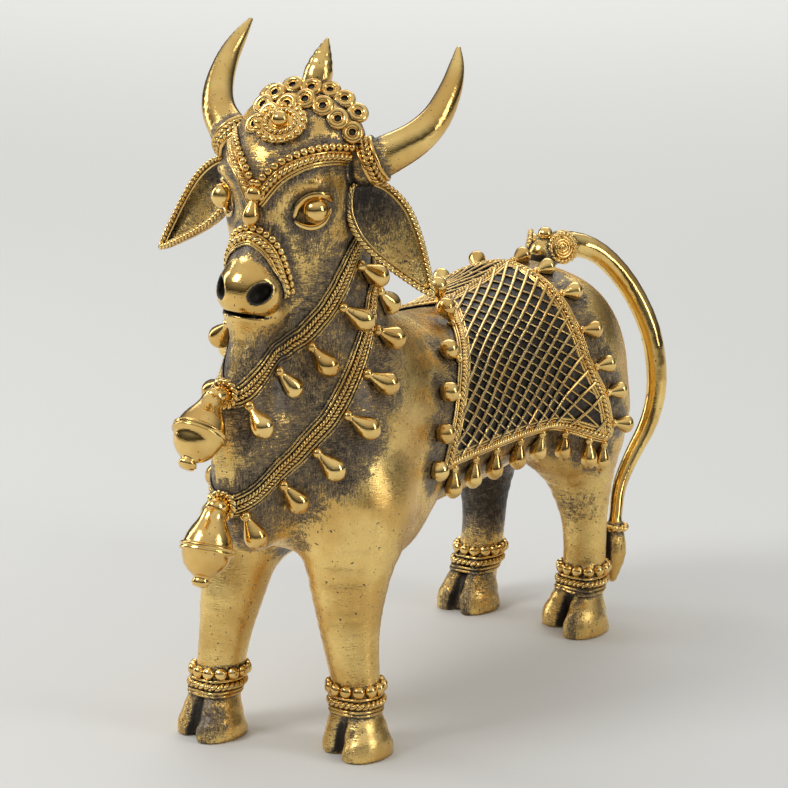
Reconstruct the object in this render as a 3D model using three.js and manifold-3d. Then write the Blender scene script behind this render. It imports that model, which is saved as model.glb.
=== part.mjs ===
// A Nandi bull in cast brass, one solid casting that stands on its four hooves.
// Millimetres, +Z up. The bull looks along -Y and its left side is +X.
// The origin is on the ground under the middle of the figure's box.

import * as THREE from 'three';
import { mergeVertices } from 'three/addons/utils/BufferGeometryUtils.js';
import Module from 'manifold-3d';

const wasm = await Module();
wasm.setup();

// Driving sizes, mm
const FIGURE_HEIGHT = 230; // hoof soles to the higher horn tip
const COLLAR_WIDTH = 7.6; // band of rope and threads round the neck
const COLLAR_RAISE = 2.0;
const DROP_LENGTH = 11.5; // pear-shaped drops on the collars
const DROP_DIAMETER = 7.6;
const DROP_PITCH = 14.2; // wanted spacing along a collar
const FRINGE_LENGTH = 10.5; // drops round the saddle cloth
const FRINGE_DIAMETER = 7.6;
const CLOTH_RAISE = 0.9; // saddle cloth above the coat
const BORDER_WIDTH = 5.6; // rope border of the saddle cloth
const BORDER_RAISE = 2.2;
const BELL_DIAMETER = 15.8;
const BELL_LENGTH = 25;
const BELL_BOSS = 6.4; // diameter of the round boss that a bell hangs from
const CURL_DIAMETER = 7.4; // rings of wire on the crown
const CURL_WIRE = 2.5;
const BRACELET_HEIGHT = 11.5;
const BRACELET_WALL = 2.2; // how far a bracelet stands off the leg
const EAR_RIM = 2.4; // width of the rope round an ear
const NOSE_BAND_WIDTH = 7.0;
const BROW_BAND_WIDTH = 6.0;
const FACE_BAND_RAISE = 2.0;
const ROSETTE_DIAMETER = 18;
const PENDANT_LENGTH = 10.5;
const PENDANT_DIAMETER = 5.4;
const HORN_RING_WIRE = 2.6;
const TAIL_BALL_DIAMETER = 5.6;
const TAIL_RING_WIRE = 3.0;

// Fineness of the faceted surface
const BODY_TRIANGLES = 4600; // after the net has been thinned out
const TRIANGLES = 9700; // whole casting
const FACE_CARE = 5; // how much finer the head is kept than the trunk
const SUNK = 1.4; // mm, how deep an ornament's foot sits in the coat

// The pose and the proportions are hundredths of the figure's height
const UNIT = FIGURE_HEIGHT / 100;
const GRID = 1.1 * UNIT; // cell of the first, fine net

// Rounded forms, as distances from their surface, in hundredths

function smoothMin(a, b, width) {
  const overlap = Math.max(width - Math.abs(a - b), 0) / width;
  return Math.min(a, b) - overlap * overlap * width / 4;
}

function smoothMax(a, b, width) {
  return -smoothMin(-a, -b, width);
}

// Points of a smooth curve through rows of numbers, with the given steps in each span
function spline(rows, steps) {
  const first = rows[0].map((v, c) => 2 * v - rows[1][c]);
  const last = rows.at(-1).map((v, c) => 2 * v - rows.at(-2)[c]);
  const all = [first, ...rows, last];
  const out = [];
  for (let span = 0; span < rows.length - 1; span++) {
    for (let step = 0; step < steps; step++) {
      const t = step / steps;
      out.push(rows[0].map((_, c) => {
        const [a, b, d, e] = [all[span][c], all[span + 1][c], all[span + 2][c], all[span + 3][c]];
        return b + 0.5 * t * (d - a + t * (2 * a - 5 * b + 4 * d - e + t * (3 * b - a - 3 * d + e)));
      }));
    }
  }
  out.push([...rows.at(-1)]);
  return out;
}

// An ellipsoid with the given half sizes, turned about X, Y and Z by degrees
function egg(at, half, turn = [0, 0, 0]) {
  const angles = turn.map(THREE.MathUtils.degToRad);
  const back = new THREE.Quaternion().setFromEuler(new THREE.Euler(...angles, 'ZYX')).invert();
  const centre = new THREE.Vector3(...at);
  const q = new THREE.Vector3();
  const distance = (p) => {
    q.subVectors(p, centre).applyQuaternion(back);
    const [x, y, z] = [q.x / half[0], q.y / half[1], q.z / half[2]];
    const scaled = Math.hypot(x, y, z);
    return scaled * (scaled - 1) / Math.max(Math.hypot(x / half[0], y / half[1], z / half[2]), 1e-9);
  };
  return { distance, centre, reach: Math.max(...half) };
}

// A round limb through rows of x, y, z, radius; squash above 1 makes it narrower across X
function limb(rows, steps = 3, squash = 1) {
  const path = spline(rows, steps);
  const middle = path.reduce((sum, row) => sum + row[0], 0) / path.length;
  const ball = new THREE.Sphere().setFromPoints(path.map((row) => new THREE.Vector3(...row)));
  const reach = ball.radius + Math.max(...path.map((row) => row[3]));
  const spans = path.slice(1).map((end, i) => {
    const [x, y, z, r] = path[i];
    const [dx, dy, dz, dr] = [end[0] - x, end[1] - y, end[2] - z, end[3] - r];
    return { x, y, z, r, dx, dy, dz, dr, square: dx * dx + dy * dy + dz * dz };
  });
  const distance = (p) => {
    const px = (p.x - middle) * squash + middle;
    let best = Infinity;
    for (const s of spans) {
      const [x, y, z] = [px - s.x, p.y - s.y, p.z - s.z];
      const t = Math.min(Math.max((x * s.dx + y * s.dy + z * s.dz) / s.square, 0), 1);
      const gap = Math.hypot(x - t * s.dx, y - t * s.dy, z - t * s.dz) - s.r - t * s.dr;
      if (gap < best) best = gap;
    }
    return best / squash;
  };
  return { distance, centre: ball.center, reach: reach * squash };
}

// Forms joined one after another, each with its own width of blending
function blend(forms) {
  return (p) => {
    let best = Infinity;
    for (const [form, width] of forms) {
      if (p.distanceTo(form.centre) - form.reach > best + width) continue;
      best = best === Infinity ? form.distance(p) : smoothMin(best, form.distance(p), width);
    }
    return best;
  };
}

function carve(distance, cutters, width) {
  return (p) => {
    let best = distance(p);
    for (const cutter of cutters) {
      if (p.distanceTo(cutter.centre) - cutter.reach > width) continue;
      best = smoothMax(best, -cutter.distance(p), width);
    }
    return best;
  };
}

// The sculpture, in hundredths of its height

const SIDES = [1, -1]; // left, right

const TRUNK = [
  [limb([[0, -28, 43, 12.2], [0, -14, 42.2, 14.6], [0, 6, 41.2, 14.1], [0, 26, 43.1, 14.3]], 4), 1],
  [egg([0.3, -35, 43], [8.2, 12.5, 15]), 5],
  [egg([0, 33, 44.6], [13, 12.5, 13.5]), 5],
  [egg([7.2, -30, 40], [6.8, 9, 14], [0, -6, 0]), 5],
  [egg([-5.4, -29.5, 40], [6.4, 8.4, 14], [0, 6, 0]), 5],
  ...SIDES.map((side) => [egg([side * 8, 33.5, 40], [9.2, 11.6, 15]), 5]),
  [egg([7.6, -23, 33.5], [6, 9.5, 9]), 6],
  [egg([-7, -24, 33.5], [5.6, 9, 9]), 6],
  [egg([0, -15, 48.6], [7.2, 10, 7.6]), 6],
];
const NECK = [
  [limb([[0, -26, 50, 12.5], [0, -30.5, 61, 10.8], [0.3, -31.5, 70, 9.6], [0.6, -31, 78, 8.2]], 4, 1.05), 6],
  [limb([[0.4, -43.4, 64, 2.3], [0, -46, 56, 2.6], [0, -47.8, 48, 3], [0, -48.2, 40, 3.2],
    [0, -45.5, 33, 3.2]]), 5],
];
const LEGS = [
  [[8.2, -31.2, 34, 7.6], [8.5, -32.8, 26, 6.1], [9, -33.8, 20, 4.8], [9.7, -34.4, 15, 3.95],
    [10.6, -34.6, 9.5, 3.4], [11.1, -35, 5, 3.2]],
  [[-7.2, -32.4, 34, 5.8], [-8.1, -34.6, 26, 5], [-9, -36.2, 20, 4.5], [-9.6, -37, 15, 3.8],
    [-10.3, -37.4, 9.5, 3.4], [-10.6, -37.8, 5, 3.2]],
  [[9.2, 33.6, 34, 8.6], [9.4, 36, 25, 5.6], [9.9, 36.8, 18, 3.85], [10.1, 36.9, 13, 3.45],
    [10.3, 36.4, 9, 3.4], [10.4, 35.6, 5, 3.2]],
  [[-9.2, 35.8, 34, 8.6], [-9.2, 38.4, 25, 5.6], [-9.6, 39.4, 18, 3.9], [-9.8, 39.5, 13, 3.5],
    [-10, 39, 9, 3.45], [-10.2, 38, 5, 3.25]],
];
// Two claws on each hoof: top x, y, sole x, y and half width and length of the sole
const CLAWS = [
  [[12, -35.6, 14.1, -36.9, 3.3, 4.8], [10, -35.4, 9, -35.1, 2.9, 4.2]],
  [[-9.6, -38.6, -8.4, -40, 3.2, 5], [-11.8, -38.2, -13.1, -38.8, 2.8, 4.4]],
  [[11.6, 35, 14.1, 30.9, 3.2, 5.2], [9.3, 35.6, 7.1, 34.6, 3, 4.4]],
  [[-9.2, 37.2, -7, 33.8, 3, 5], [-11.2, 37.4, -12, 34.3, 2.8, 4.4]],
];
const CLAW_TOP = 7.2;
const UNDERCUT = 1.6; // below the ground, where the soles are cut flat

function claw([topX, topY, soleX, soleY, halfX, halfY]) {
  const middle = [0.6 * topX + 0.4 * soleX, 0.6 * topY + 0.4 * soleY, 4, 3.5];
  const rows = [[topX, topY, CLAW_TOP, 2.8], middle, [soleX, soleY, 0.9, halfY]];
  return limb(rows, 2, halfY / halfX);
}

function cleft([left, right]) {
  const top = [(left[0] + right[0]) / 2, Math.min(left[1], right[1]) - 3.2];
  const sole = [(left[2] - left[4] + right[2] + right[4]) / 2];
  sole.push(Math.max(left[3] - left[5], right[3] - right[5]) - 0.2);
  const middle = [(top[0] + sole[0]) / 2, top[1] * 0.4 + sole[1] * 0.6];
  return limb([[...top, 7.4, 0.1], [...middle, 4, 0.55], [...sole, 0, 1.3], [...sole, -2, 1.5]], 2);
}

// The head has its own frame, turned a little to the bull's left and down on that side
const HEAD_FRAME = new THREE.Matrix4().makeRotationFromEuler(
  new THREE.Euler(0, THREE.MathUtils.degToRad(4.5), THREE.MathUtils.degToRad(4.5), 'ZYX'),
).setPosition(0.7, -31.5, 84.5);
const HORNS = [
  [[9.6, -0.5, -1.6, 3], [12.4, 0.6, 0, 2.75], [15.6, 2.4, 2.4, 2.4], [17.3, 5, 5.2, 2.05],
    [17.7, 8, 8.8, 1.6], [17.3, 10.3, 11.6, 1.1], [16.5, 12.3, 14, 0.35]],
  [[-9.6, -0.5, -1.6, 3], [-12.2, 0.6, 0, 2.75], [-15, 2.4, 2.4, 2.4], [-16.6, 5, 5.2, 2.05],
    [-17.1, 8, 8.8, 1.6], [-16.7, 10.3, 11.6, 1.1], [-16.1, 12.3, 14, 0.35]],
];

const SKULL = [
  [egg([0, -0.8, 0.3], [9.2, 7.6, 7.2]), 1],
  [egg([0, -6.5, -3], [7.8, 6.2, 6.5]), 3],
  [limb([[0, -7.5, -4, 5.4], [0, -8.6, -9, 4.9], [0, -10.6, -13.5, 4.1], [0, -12.8, -16.4, 3.7]]), 2.5],
  [limb([[0, 0, -8, 7.2], [0, -4, -13, 5.4], [0, -10, -19, 3.2]]), 3],
  ...SIDES.map((side) => [egg([side * 4.6, -3, -9], [4.2, 6, 6.5]), 3]),
  ...SIDES.map((side) => [egg([side * 5.2, -9, -3.6], [3, 2.4, 1.8]), 1.5]),
  [egg([0.3, -14, -18.4], [4.6, 4.3, 4.3]), 0.5],
  [egg([0.2, -12.6, -21.2], [4, 4.4, 3]), 0.25],
];
const NOSTRILS = SIDES.map((side) => (
  egg([0.3 + side * 3.1, -17.2, -17.9], [1.05, 2.7, 1.5], [0, side * 35, 0])));
const EYE_SOCKETS = SIDES.map((side) => egg([side * 7.8, -10.4, -7.1], [2.9, 2.2, 2.7]));
const KNOB = limb([[0, 2.3, 7.8, 2], [0, 2.9, 9.4, 2], [0, 3.8, 11.6, 1.3], [0, 4.9, 13.9, 0.25]], 2);
const TAIL = [[0.3, 40.5, 58.4, 2.6], [1.8, 47, 59, 2.1], [5, 51, 57.1, 1.8], [8.7, 54, 51.9, 1.75],
  [12.3, 55, 44.6, 1.7], [13.7, 55, 36.4, 1.65], [13.2, 53.5, 30, 1.5], [11.9, 50, 24.7, 1.3],
  [11.2, 47, 20.2, 1.15], [11.6, 45, 16.2, 1.05], [11.9, 44, 13.4, 1.1]];
const TUFT = [[11.9, 44.2, 14, 1.3], [12.1, 43.4, 10, 2], [12.3, 42.6, 6, 0.8]];

function headDistance() {
  const face = carve(carve(blend(SKULL), EYE_SOCKETS, 1.5), NOSTRILS, 0.5);
  const extras = blend([...HORNS.map((rows) => [limb(rows, 4), 0.8]), [KNOB, 0.5]]);
  const inverse = HEAD_FRAME.clone().invert();
  const q = new THREE.Vector3();
  return (p) => {
    q.copy(p).applyMatrix4(inverse);
    return smoothMin(face(q), extras(q), 0.6);
  };
}

const HEAD = { centre: new THREE.Vector3(0, -31, 84), reach: 29 };

function sculpture() {
  const body = blend([
    ...TRUNK,
    ...NECK,
    ...LEGS.map((rows) => [limb(rows), 3.5]),
    ...CLAWS.flat().map((row) => [claw(row), 0.6]),
    [{ ...HEAD, distance: headDistance() }, 2.5],
    [limb(TAIL), 0.8],
    [limb(TUFT), 0.5],
  ]);
  const hooved = carve(body, CLAWS.map(cleft), 0.6);
  return (p) => Math.max(hooved(p), -UNDERCUT - p.z);
}

// Trunk, neck and face without horns and tail: what the ornaments lie on
function coat() {
  const inverse = HEAD_FRAME.clone().invert();
  const q = new THREE.Vector3();
  const face = blend(SKULL);
  const head = { ...HEAD, distance: (p) => face(q.copy(p).applyMatrix4(inverse)) };
  return blend([...TRUNK, ...NECK, ...LEGS.map((rows) => [limb(rows), 3.5]), [head, 2.5]]);
}

// The same distances in millimetres, negative inside
function inMillimetres(share) {
  const q = new THREE.Vector3();
  return (p) => share(q.copy(p).divideScalar(UNIT)) * UNIT;
}

const distance = inMillimetres(sculpture());
const coatDistance = inMillimetres(coat());

function outward(p, from, step = 0.2) {
  const slope = ['x', 'y', 'z'].map((axis) => {
    const [a, b] = [p.clone(), p.clone()];
    a[axis] += step;
    b[axis] -= step;
    return (from(a) - from(b)) / (2 * step);
  });
  return new THREE.Vector3(...slope);
}

// Where a ray from inside first leaves the coat
function skin(from, direction) {
  const p = from.clone();
  for (let i = 0; i < 60; i++) {
    const gap = coatDistance(p);
    if (Math.abs(gap) < 0.01) break;
    p.addScaledVector(direction, -gap * 0.9);
  }
  return { at: p, normal: outward(p, coatDistance).normalize() };
}

// Faceted bodies, each a list of points and a list of three-cornered faces

// The six tetrahedra that fill a cell; a corner's number has a bit for each of x, y and z
const TETRAHEDRA = [[0, 1, 3, 7], [0, 3, 2, 7], [0, 2, 6, 7], [0, 6, 4, 7], [0, 4, 5, 7], [0, 5, 1, 7]];
// Orders of a tetrahedron's corners that keep its handedness
const ONE_FIRST = [[0, 1, 2, 3], [1, 0, 3, 2], [2, 3, 0, 1], [3, 2, 1, 0]];
const TWO_FIRST = [[0, 1, 2, 3], [2, 3, 0, 1], [0, 2, 3, 1], [3, 1, 0, 2], [0, 3, 1, 2], [1, 2, 0, 3]];
const BLOCK = 4; // cells; a block whose middle is far from the surface is passed over

// Values of the distance at the corners of a grid, exact only near the surface
function sample(box, cell, count, stride) {
  const value = new Float32Array(count.x * count.y * count.z).fill(1);
  const p = new THREE.Vector3();
  const far = cell * BLOCK * Math.sqrt(3) / 2 * 1.7;
  const eachStep = (from, to, step, visit) => {
    for (let i = from.x; i < to.x; i += step) {
      for (let j = from.y; j < to.y; j += step) {
        for (let k = from.z; k < to.z; k += step) visit(i, j, k);
      }
    }
  };
  eachStep(new THREE.Vector3(), count, BLOCK, (i, j, k) => {
    const start = new THREE.Vector3(i, j, k);
    const end = start.clone().addScalar(BLOCK).min(count);
    const middle = p.copy(start).addScalar(BLOCK / 2).multiplyScalar(cell).add(box.min);
    const typical = distance(middle);
    eachStep(start, end, 1, (a, b, c) => {
      const near = Math.abs(typical) < far;
      const exact = near ? distance(p.set(a, b, c).multiplyScalar(cell).add(box.min)) : typical;
      value[a * stride[0] + b * stride[1] + c] = exact;
    });
  });
  return value;
}

// A closed net over the surface: each tetrahedron of the grid gives its own one or two faces
function polygonise(box, cell) {
  const count = box.getSize(new THREE.Vector3()).divideScalar(cell).ceil().addScalar(1);
  const stride = [count.y * count.z, count.z, 1];
  const value = sample(box, cell, count, stride);
  const offset = [...Array(8).keys()].map((c) => (c & 1) * stride[0] + ((c >> 1) & 1) * stride[1] + (c >> 2));
  const points = [];
  const known = new Map();
  const place = (index) => new THREE.Vector3(
    Math.floor(index / stride[0]), Math.floor(index / stride[1]) % count.y, index % count.z,
  ).multiplyScalar(cell).add(box.min);
  const crossing = (cellIndex, a, b) => {
    const [low, high] = [cellIndex + offset[Math.min(a, b)], cellIndex + offset[Math.max(a, b)]];
    const key = low * 8 + (a ^ b);
    if (!known.has(key)) {
      const share = value[low] / (value[low] - value[high]);
      known.set(key, points.length);
      points.push(place(low).lerp(place(high), Math.min(Math.max(share, 0.03), 0.97)));
    }
    return known.get(key);
  };
  const faces = [];
  for (let index = 0; index + offset[7] < value.length; index++) {
    const atEdge = index % count.z === count.z - 1 || Math.floor(index / count.z) % count.y === count.y - 1;
    if (atEdge) continue;
    const inside = offset.map((step) => value[index + step] < 0);
    if (inside.every((flag) => flag === inside[0])) continue;
    for (const corners of TETRAHEDRA) {
      const within = corners.map((c) => inside[c]);
      const total = within.filter(Boolean).length;
      if (total === 1 || total === 3) {
        const [a, b, c, d] = ONE_FIRST[within.indexOf(total === 1)].map((n) => corners[n]);
        const face = [crossing(index, a, b), crossing(index, a, c), crossing(index, a, d)];
        faces.push(total === 1 ? face : face.reverse());
      } else if (total === 2) {
        const order = TWO_FIRST.find(([m, n]) => within[m] && within[n]);
        const [a, b, c, d] = order.map((n) => corners[n]);
        const quad = [[a, c], [a, d], [b, d], [b, c]].map(([m, n]) => crossing(index, m, n));
        faces.push([quad[0], quad[1], quad[2]], [quad[0], quad[2], quad[3]]);
      }
    }
  }
  return { points, faces };
}

// Moves a point onto the surface, by at most half a cell each time
function settle(p, cell) {
  for (let i = 0; i < 3; i++) {
    const slope = outward(p, distance);
    const move = slope.multiplyScalar(-distance(p) / Math.max(slope.lengthSq(), 1e-6));
    p.add(move.clampLength(0, cell / 2));
  }
  return p;
}

// A queue that gives its cheapest entry first
class Queue {
  entries = [];

  push(entry) {
    const list = this.entries;
    let at = list.push(entry) - 1;
    while (at && list[(at - 1) >> 1].cost > entry.cost) {
      list[at] = list[(at - 1) >> 1];
      at = (at - 1) >> 1;
    }
    list[at] = entry;
  }

  pop() {
    const list = this.entries;
    const top = list[0];
    const last = list.pop();
    let at = 0;
    for (let child = 1; child < list.length; child = 2 * at + 1) {
      if (child + 1 < list.length && list[child + 1].cost < list[child].cost) child++;
      if (list[child].cost >= last.cost) break;
      list[at] = list[child];
      at = child;
    }
    if (list.length) list[at] = last;
    return top;
  }
}

// Thins out a closed net, joining the two ends of whichever edge changes the shape least;
// care says how much a change counts at a place
function thinOut({ points, faces }, limit, care) {
  points = points.map((p) => p.clone());
  faces = faces.map((face) => [...face]);
  const around = points.map(() => new Set());
  const version = points.map(() => 0);
  // Sum of the squared distances from the planes round each point, as ten numbers
  const error = points.map(() => new Float64Array(10));
  const normalOf = (face) => {
    const [a, b, c] = face.map((n) => points[n]);
    return b.clone().sub(a).cross(c.clone().sub(a));
  };
  faces.forEach((face, index) => {
    const normal = normalOf(face);
    const area = normal.length();
    const weight = area * care(points[face[0]]);
    normal.divideScalar(area || 1);
    const plane = [normal.x, normal.y, normal.z, -normal.dot(points[face[0]])];
    for (const n of face) {
      around[n].add(index);
      let slot = 0;
      for (let i = 0; i < 4; i++) {
        for (let j = i; j < 4; j++) error[n][slot++] += weight * plane[i] * plane[j];
      }
    }
  });
  const costAt = (q, { x, y, z }) => q[0] * x * x + q[4] * y * y + q[7] * z * z + q[9]
    + 2 * (q[1] * x * y + q[2] * x * z + q[5] * y * z + q[3] * x + q[6] * y + q[8] * z);
  const bestPlace = (a, b) => {
    const q = error[a].map((v, i) => v + error[b][i]);
    const middle = points[a].clone().add(points[b]).multiplyScalar(0.5);
    const span = points[a].distanceTo(points[b]);
    const steady = 1e-3 * (q[0] + q[4] + q[7]);
    const matrix = new THREE.Matrix3(q[0], q[1], q[2], q[1], q[4], q[5], q[2], q[5], q[7]);
    [0, 4, 8].forEach((slot) => { matrix.elements[slot] += steady; });
    const goal = middle.clone().multiplyScalar(steady).sub(new THREE.Vector3(q[3], q[6], q[8]));
    const place = goal.applyMatrix3(matrix.invert());
    if (!(place.distanceTo(middle) < 1.5 * span)) place.copy(middle);
    return { place, cost: costAt(q, place) + 1e-4 * span ** 4 };
  };
  const queue = new Queue();
  const offer = (a, b) => queue.push({ a, b, stamp: [version[a], version[b]], ...bestPlace(a, b) });
  for (const face of faces) {
    for (let i = 0; i < 3; i++) {
      const [a, b] = [face[i], face[(i + 1) % 3]];
      if (a < b) offer(a, b);
    }
  }
  const neighbours = (n) => new Set([...around[n]].flatMap((index) => faces[index]).filter((m) => m !== n));
  const staysFacing = (n, other, place) => [...around[n]].every((index) => {
    if (around[other].has(index)) return true;
    const before = normalOf(faces[index]);
    const [a, b, c] = faces[index].map((m) => (m === n ? place : points[m]));
    const after = b.clone().sub(a).cross(c.clone().sub(a));
    return before.dot(after) > 0.25 * before.length() * after.length() && after.length() > 1e-4;
  });
  let left = faces.length;
  while (left > limit && queue.entries.length) {
    const { a, b, stamp, place } = queue.pop();
    if (stamp[0] !== version[a] || stamp[1] !== version[b]) continue;
    const shared = [...around[a]].filter((index) => around[b].has(index));
    const common = [...neighbours(a)].filter((n) => neighbours(b).has(n));
    if (shared.length !== 2 || common.length !== 2) continue;
    if (!staysFacing(a, b, place) || !staysFacing(b, a, place)) continue;
    points[a].copy(place);
    error[a].forEach((v, i) => { error[a][i] = v + error[b][i]; });
    for (const index of shared) faces[index].forEach((n) => around[n].delete(index));
    for (const index of shared) faces[index] = null;
    for (const index of around[b]) {
      faces[index][faces[index].indexOf(b)] = a;
      around[a].add(index);
    }
    around[b].clear();
    version[a]++;
    version[b] = -1;
    left -= 2;
    for (const n of neighbours(a)) offer(a, n);
  }
  return tidied(points, faces.filter((face) => face));
}

// Drops the points that no face uses
function tidied(points, faces) {
  const used = [...new Set(faces.flat())];
  const place = new Map(used.map((n, i) => [n, i]));
  return { points: used.map((n) => points[n]), faces: faces.map((face) => face.map((n) => place.get(n))) };
}

function fromGeometry(geometry, matrix = new THREE.Matrix4()) {
  const bare = geometry.clone().applyMatrix4(matrix);
  bare.deleteAttribute('normal');
  bare.deleteAttribute('uv');
  const merged = mergeVertices(bare, 1e-4);
  const position = merged.getAttribute('position');
  const points = Array.from({ length: position.count }, (_, n) => (
    new THREE.Vector3().fromBufferAttribute(position, n)));
  const faces = [];
  const { array } = merged.index;
  for (let i = 0; i < array.length; i += 3) {
    const face = [array[i], array[i + 1], array[i + 2]];
    if (new Set(face).size === 3) faces.push(face);
  }
  return { points, faces };
}

// A body over a row of sections; ring says that the last meets the first
function loft(sections, ring) {
  const points = sections.flat();
  const size = sections[0].length;
  const faces = [];
  const spans = ring ? sections.length : sections.length - 1;
  for (let i = 0; i < spans; i++) {
    const [here, next] = [i * size, ((i + 1) % sections.length) * size];
    for (let j = 0; j < size; j++) {
      const k = (j + 1) % size;
      faces.push([here + j, here + k, next + k], [here + j, next + k, next + j]);
    }
  }
  if (!ring) {
    const last = (sections.length - 1) * size;
    for (let j = 1; j < size - 1; j++) faces.push([0, j + 1, j], [last, last + j, last + j + 1]);
  }
  return { points, faces };
}

// A flat outline of across and up, set into a frame of at, side and normal
function placed({ at, side, normal }, outline) {
  return outline.map(([across, up]) => at.clone().addScaledVector(side, across).addScaledVector(normal, up));
}

function sweep(frames, outline, ring) {
  return loft(frames.map((frame) => placed(frame, outline)), ring);
}

// Frames along points that each have a normal
function frames(stations, ring) {
  return stations.map(({ at, normal }, i) => {
    const before = stations[ring ? (i + stations.length - 1) % stations.length : Math.max(i - 1, 0)];
    const after = stations[ring ? (i + 1) % stations.length : Math.min(i + 1, stations.length - 1)];
    const along = after.at.clone().sub(before.at).normalize();
    const side = along.clone().cross(normal).normalize();
    return { at, along, side, normal: side.clone().cross(along) };
  });
}

// The low arch that a band shows above the coat
function bandSection(width, raise) {
  const half = width / 2;
  return [[-half, -SUNK], [half, -SUNK], [half, raise * 0.6], [0, raise], [-half, raise * 0.6]];
}

function solid({ points, faces }) {
  const mesh = new wasm.Mesh({
    numProp: 3,
    vertProperties: Float32Array.from(points.flatMap((p) => [p.x, p.y, p.z])),
    triVerts: Uint32Array.from(faces.flat()),
  });
  const made = new wasm.Manifold(mesh);
  return made.volume() < 0 ? solid({ points, faces: faces.map(([a, b, c]) => [a, c, b]) }) : made;
}

function facets(body) {
  const { numProp, vertProperties, triVerts } = body.getMesh();
  const points = [];
  for (let i = 0; i < vertProperties.length; i += numProp) {
    points.push(new THREE.Vector3(...vertProperties.subarray(i, i + 3)));
  }
  const faces = [];
  for (let i = 0; i < triVerts.length; i += 3) faces.push([...triVerts.subarray(i, i + 3)]);
  return { points, faces };
}

// Ornaments, mm

// Turns a shape made about +Y to stand at a point along the given direction
function standing(at, direction) {
  const way = direction.clone().normalize();
  const turn = new THREE.Quaternion().setFromUnitVectors(new THREE.Vector3(0, 1, 0), way);
  return new THREE.Matrix4().compose(at, turn, new THREE.Vector3(1, 1, 1));
}

// A round body from rows of height and radius, the first and the last on the axis
function turned(rows, sides, matrix) {
  const outline = rows.map(([height, radius]) => new THREE.Vector2(radius, height));
  return fromGeometry(new THREE.LatheGeometry(outline, sides), matrix);
}

// A place moved along its normal until it is on the coat
function seated(at, normal) {
  const p = at.clone();
  for (let i = 0; i < 8; i++) p.addScaledVector(normal, -coatDistance(p));
  return p;
}

// A pear-shaped drop with a small ball at its root, lying against the coat
function drop(at, normal, direction, length, diameter, sides = 6) {
  const share = length / 10;
  const radius = diameter / 2;
  const rows = [[-0.4 * share, 0], [0.6 * share, 0.46 * radius], [2.2 * share, 0.34 * radius],
    [5.6 * share, 0.92 * radius], [8.2 * share, 0.92 * radius], [10 * share, 0]];
  const lean = direction.clone().addScaledVector(normal, 0.16).normalize();
  const root = seated(at, normal).addScaledVector(normal, 0.25 * radius);
  return turned(rows, sides, standing(root, lean));
}

function ringOf(at, axis, diameter, wire, tube = 4, turns = 7) {
  const way = axis.clone().normalize();
  const turn = new THREE.Quaternion().setFromUnitVectors(new THREE.Vector3(0, 0, 1), way);
  const matrix = new THREE.Matrix4().compose(at, turn, new THREE.Vector3(1, 1, 1));
  return fromGeometry(new THREE.TorusGeometry((diameter - wire) / 2, wire / 2, tube, turns), matrix);
}

const hundredths = (x, y, z) => new THREE.Vector3(x, y, z).multiplyScalar(UNIT);
const onHead = (x, y, z) => new THREE.Vector3(x, y, z).applyMatrix4(HEAD_FRAME).multiplyScalar(UNIT);
const headways = (x, y, z) => new THREE.Vector3(x, y, z).transformDirection(HEAD_FRAME);

// An ear is a leaf with a hollow front and a raised rim, in the head's frame
const EAR_DISH = 0.4; // depth of the hollow as a share of the half width
const EAR_BACK = 0.45; // bulge of the back, the same
const EAR_ROOT = [9.6, -2.2, -4.2];
const EAR_TIP = [21.6, -0.7, -18.2];
const EAR_FACING = [0.55, -1, 0.15];
// Rows of distance from the root and half width
const EAR_SHAPE = [[-0.3, 0.5], [0.1, 1.6], [1.2, 2.7], [3, 3.7], [5.6, 4.2], [8, 4], [11, 3.2], [14, 2.1],
  [16.5, 1.1], [18, 0.3]];

function ear(side) {
  const [root, tip] = [EAR_ROOT, EAR_TIP].map(([x, y, z]) => onHead(side * x, y, z));
  const along = tip.clone().sub(root).normalize();
  const facing = headways(side * EAR_FACING[0], EAR_FACING[1], EAR_FACING[2]);
  const normal = facing.addScaledVector(along, -facing.dot(along)).normalize();
  const across = normal.clone().cross(along);
  return loft(spline(EAR_SHAPE, 1).map(([far, half]) => {
    const width = half * UNIT;
    const rim = Math.min(EAR_RIM, 0.6 * width);
    const front = [[width, 0.4 * rim], [width - 0.5 * rim, 0.8 * rim], [width - rim, 0.3 * rim],
      [0.45 * (width - rim), -0.8 * EAR_DISH * width], [0, -EAR_DISH * width]];
    const back = [[0, -EAR_BACK * width - 0.5 * rim], [0.6 * width, -0.8 * EAR_BACK * width - 0.5 * rim]];
    const outline = [...front, ...mirrored(front), ...mirrored(back), ...back];
    const at = root.clone().addScaledVector(along, far * UNIT);
    return placed({ at, side: across, normal }, outline);
  }), false);
}

// The same points on the other side, from the middle outwards, without the one in the middle
function mirrored(points) {
  return points.filter(([across]) => across).map(([across, up]) => [-across, up]).reverse();
}

// A round bar along rows of x, y, z and radius in the head's frame
function bar(rows, centre, sides = 5) {
  const path = spline(rows, 2);
  const stations = path.map(([x, y, z]) => {
    const at = onHead(x, y, z);
    return { at, normal: at.clone().sub(centre).normalize() };
  });
  return loft(frames(stations, false).map((frame, i) => {
    const radius = path[i][3] * UNIT;
    return placed(frame, Array.from({ length: sides }, (_, j) => {
      const turn = 2 * Math.PI * j / sides;
      return [radius * Math.cos(turn), radius * Math.sin(turn)];
    }));
  }), false);
}

const EYE = [7.1, -9.3, -7.1];
const EYE_RADIUS = 1.75;
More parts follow.
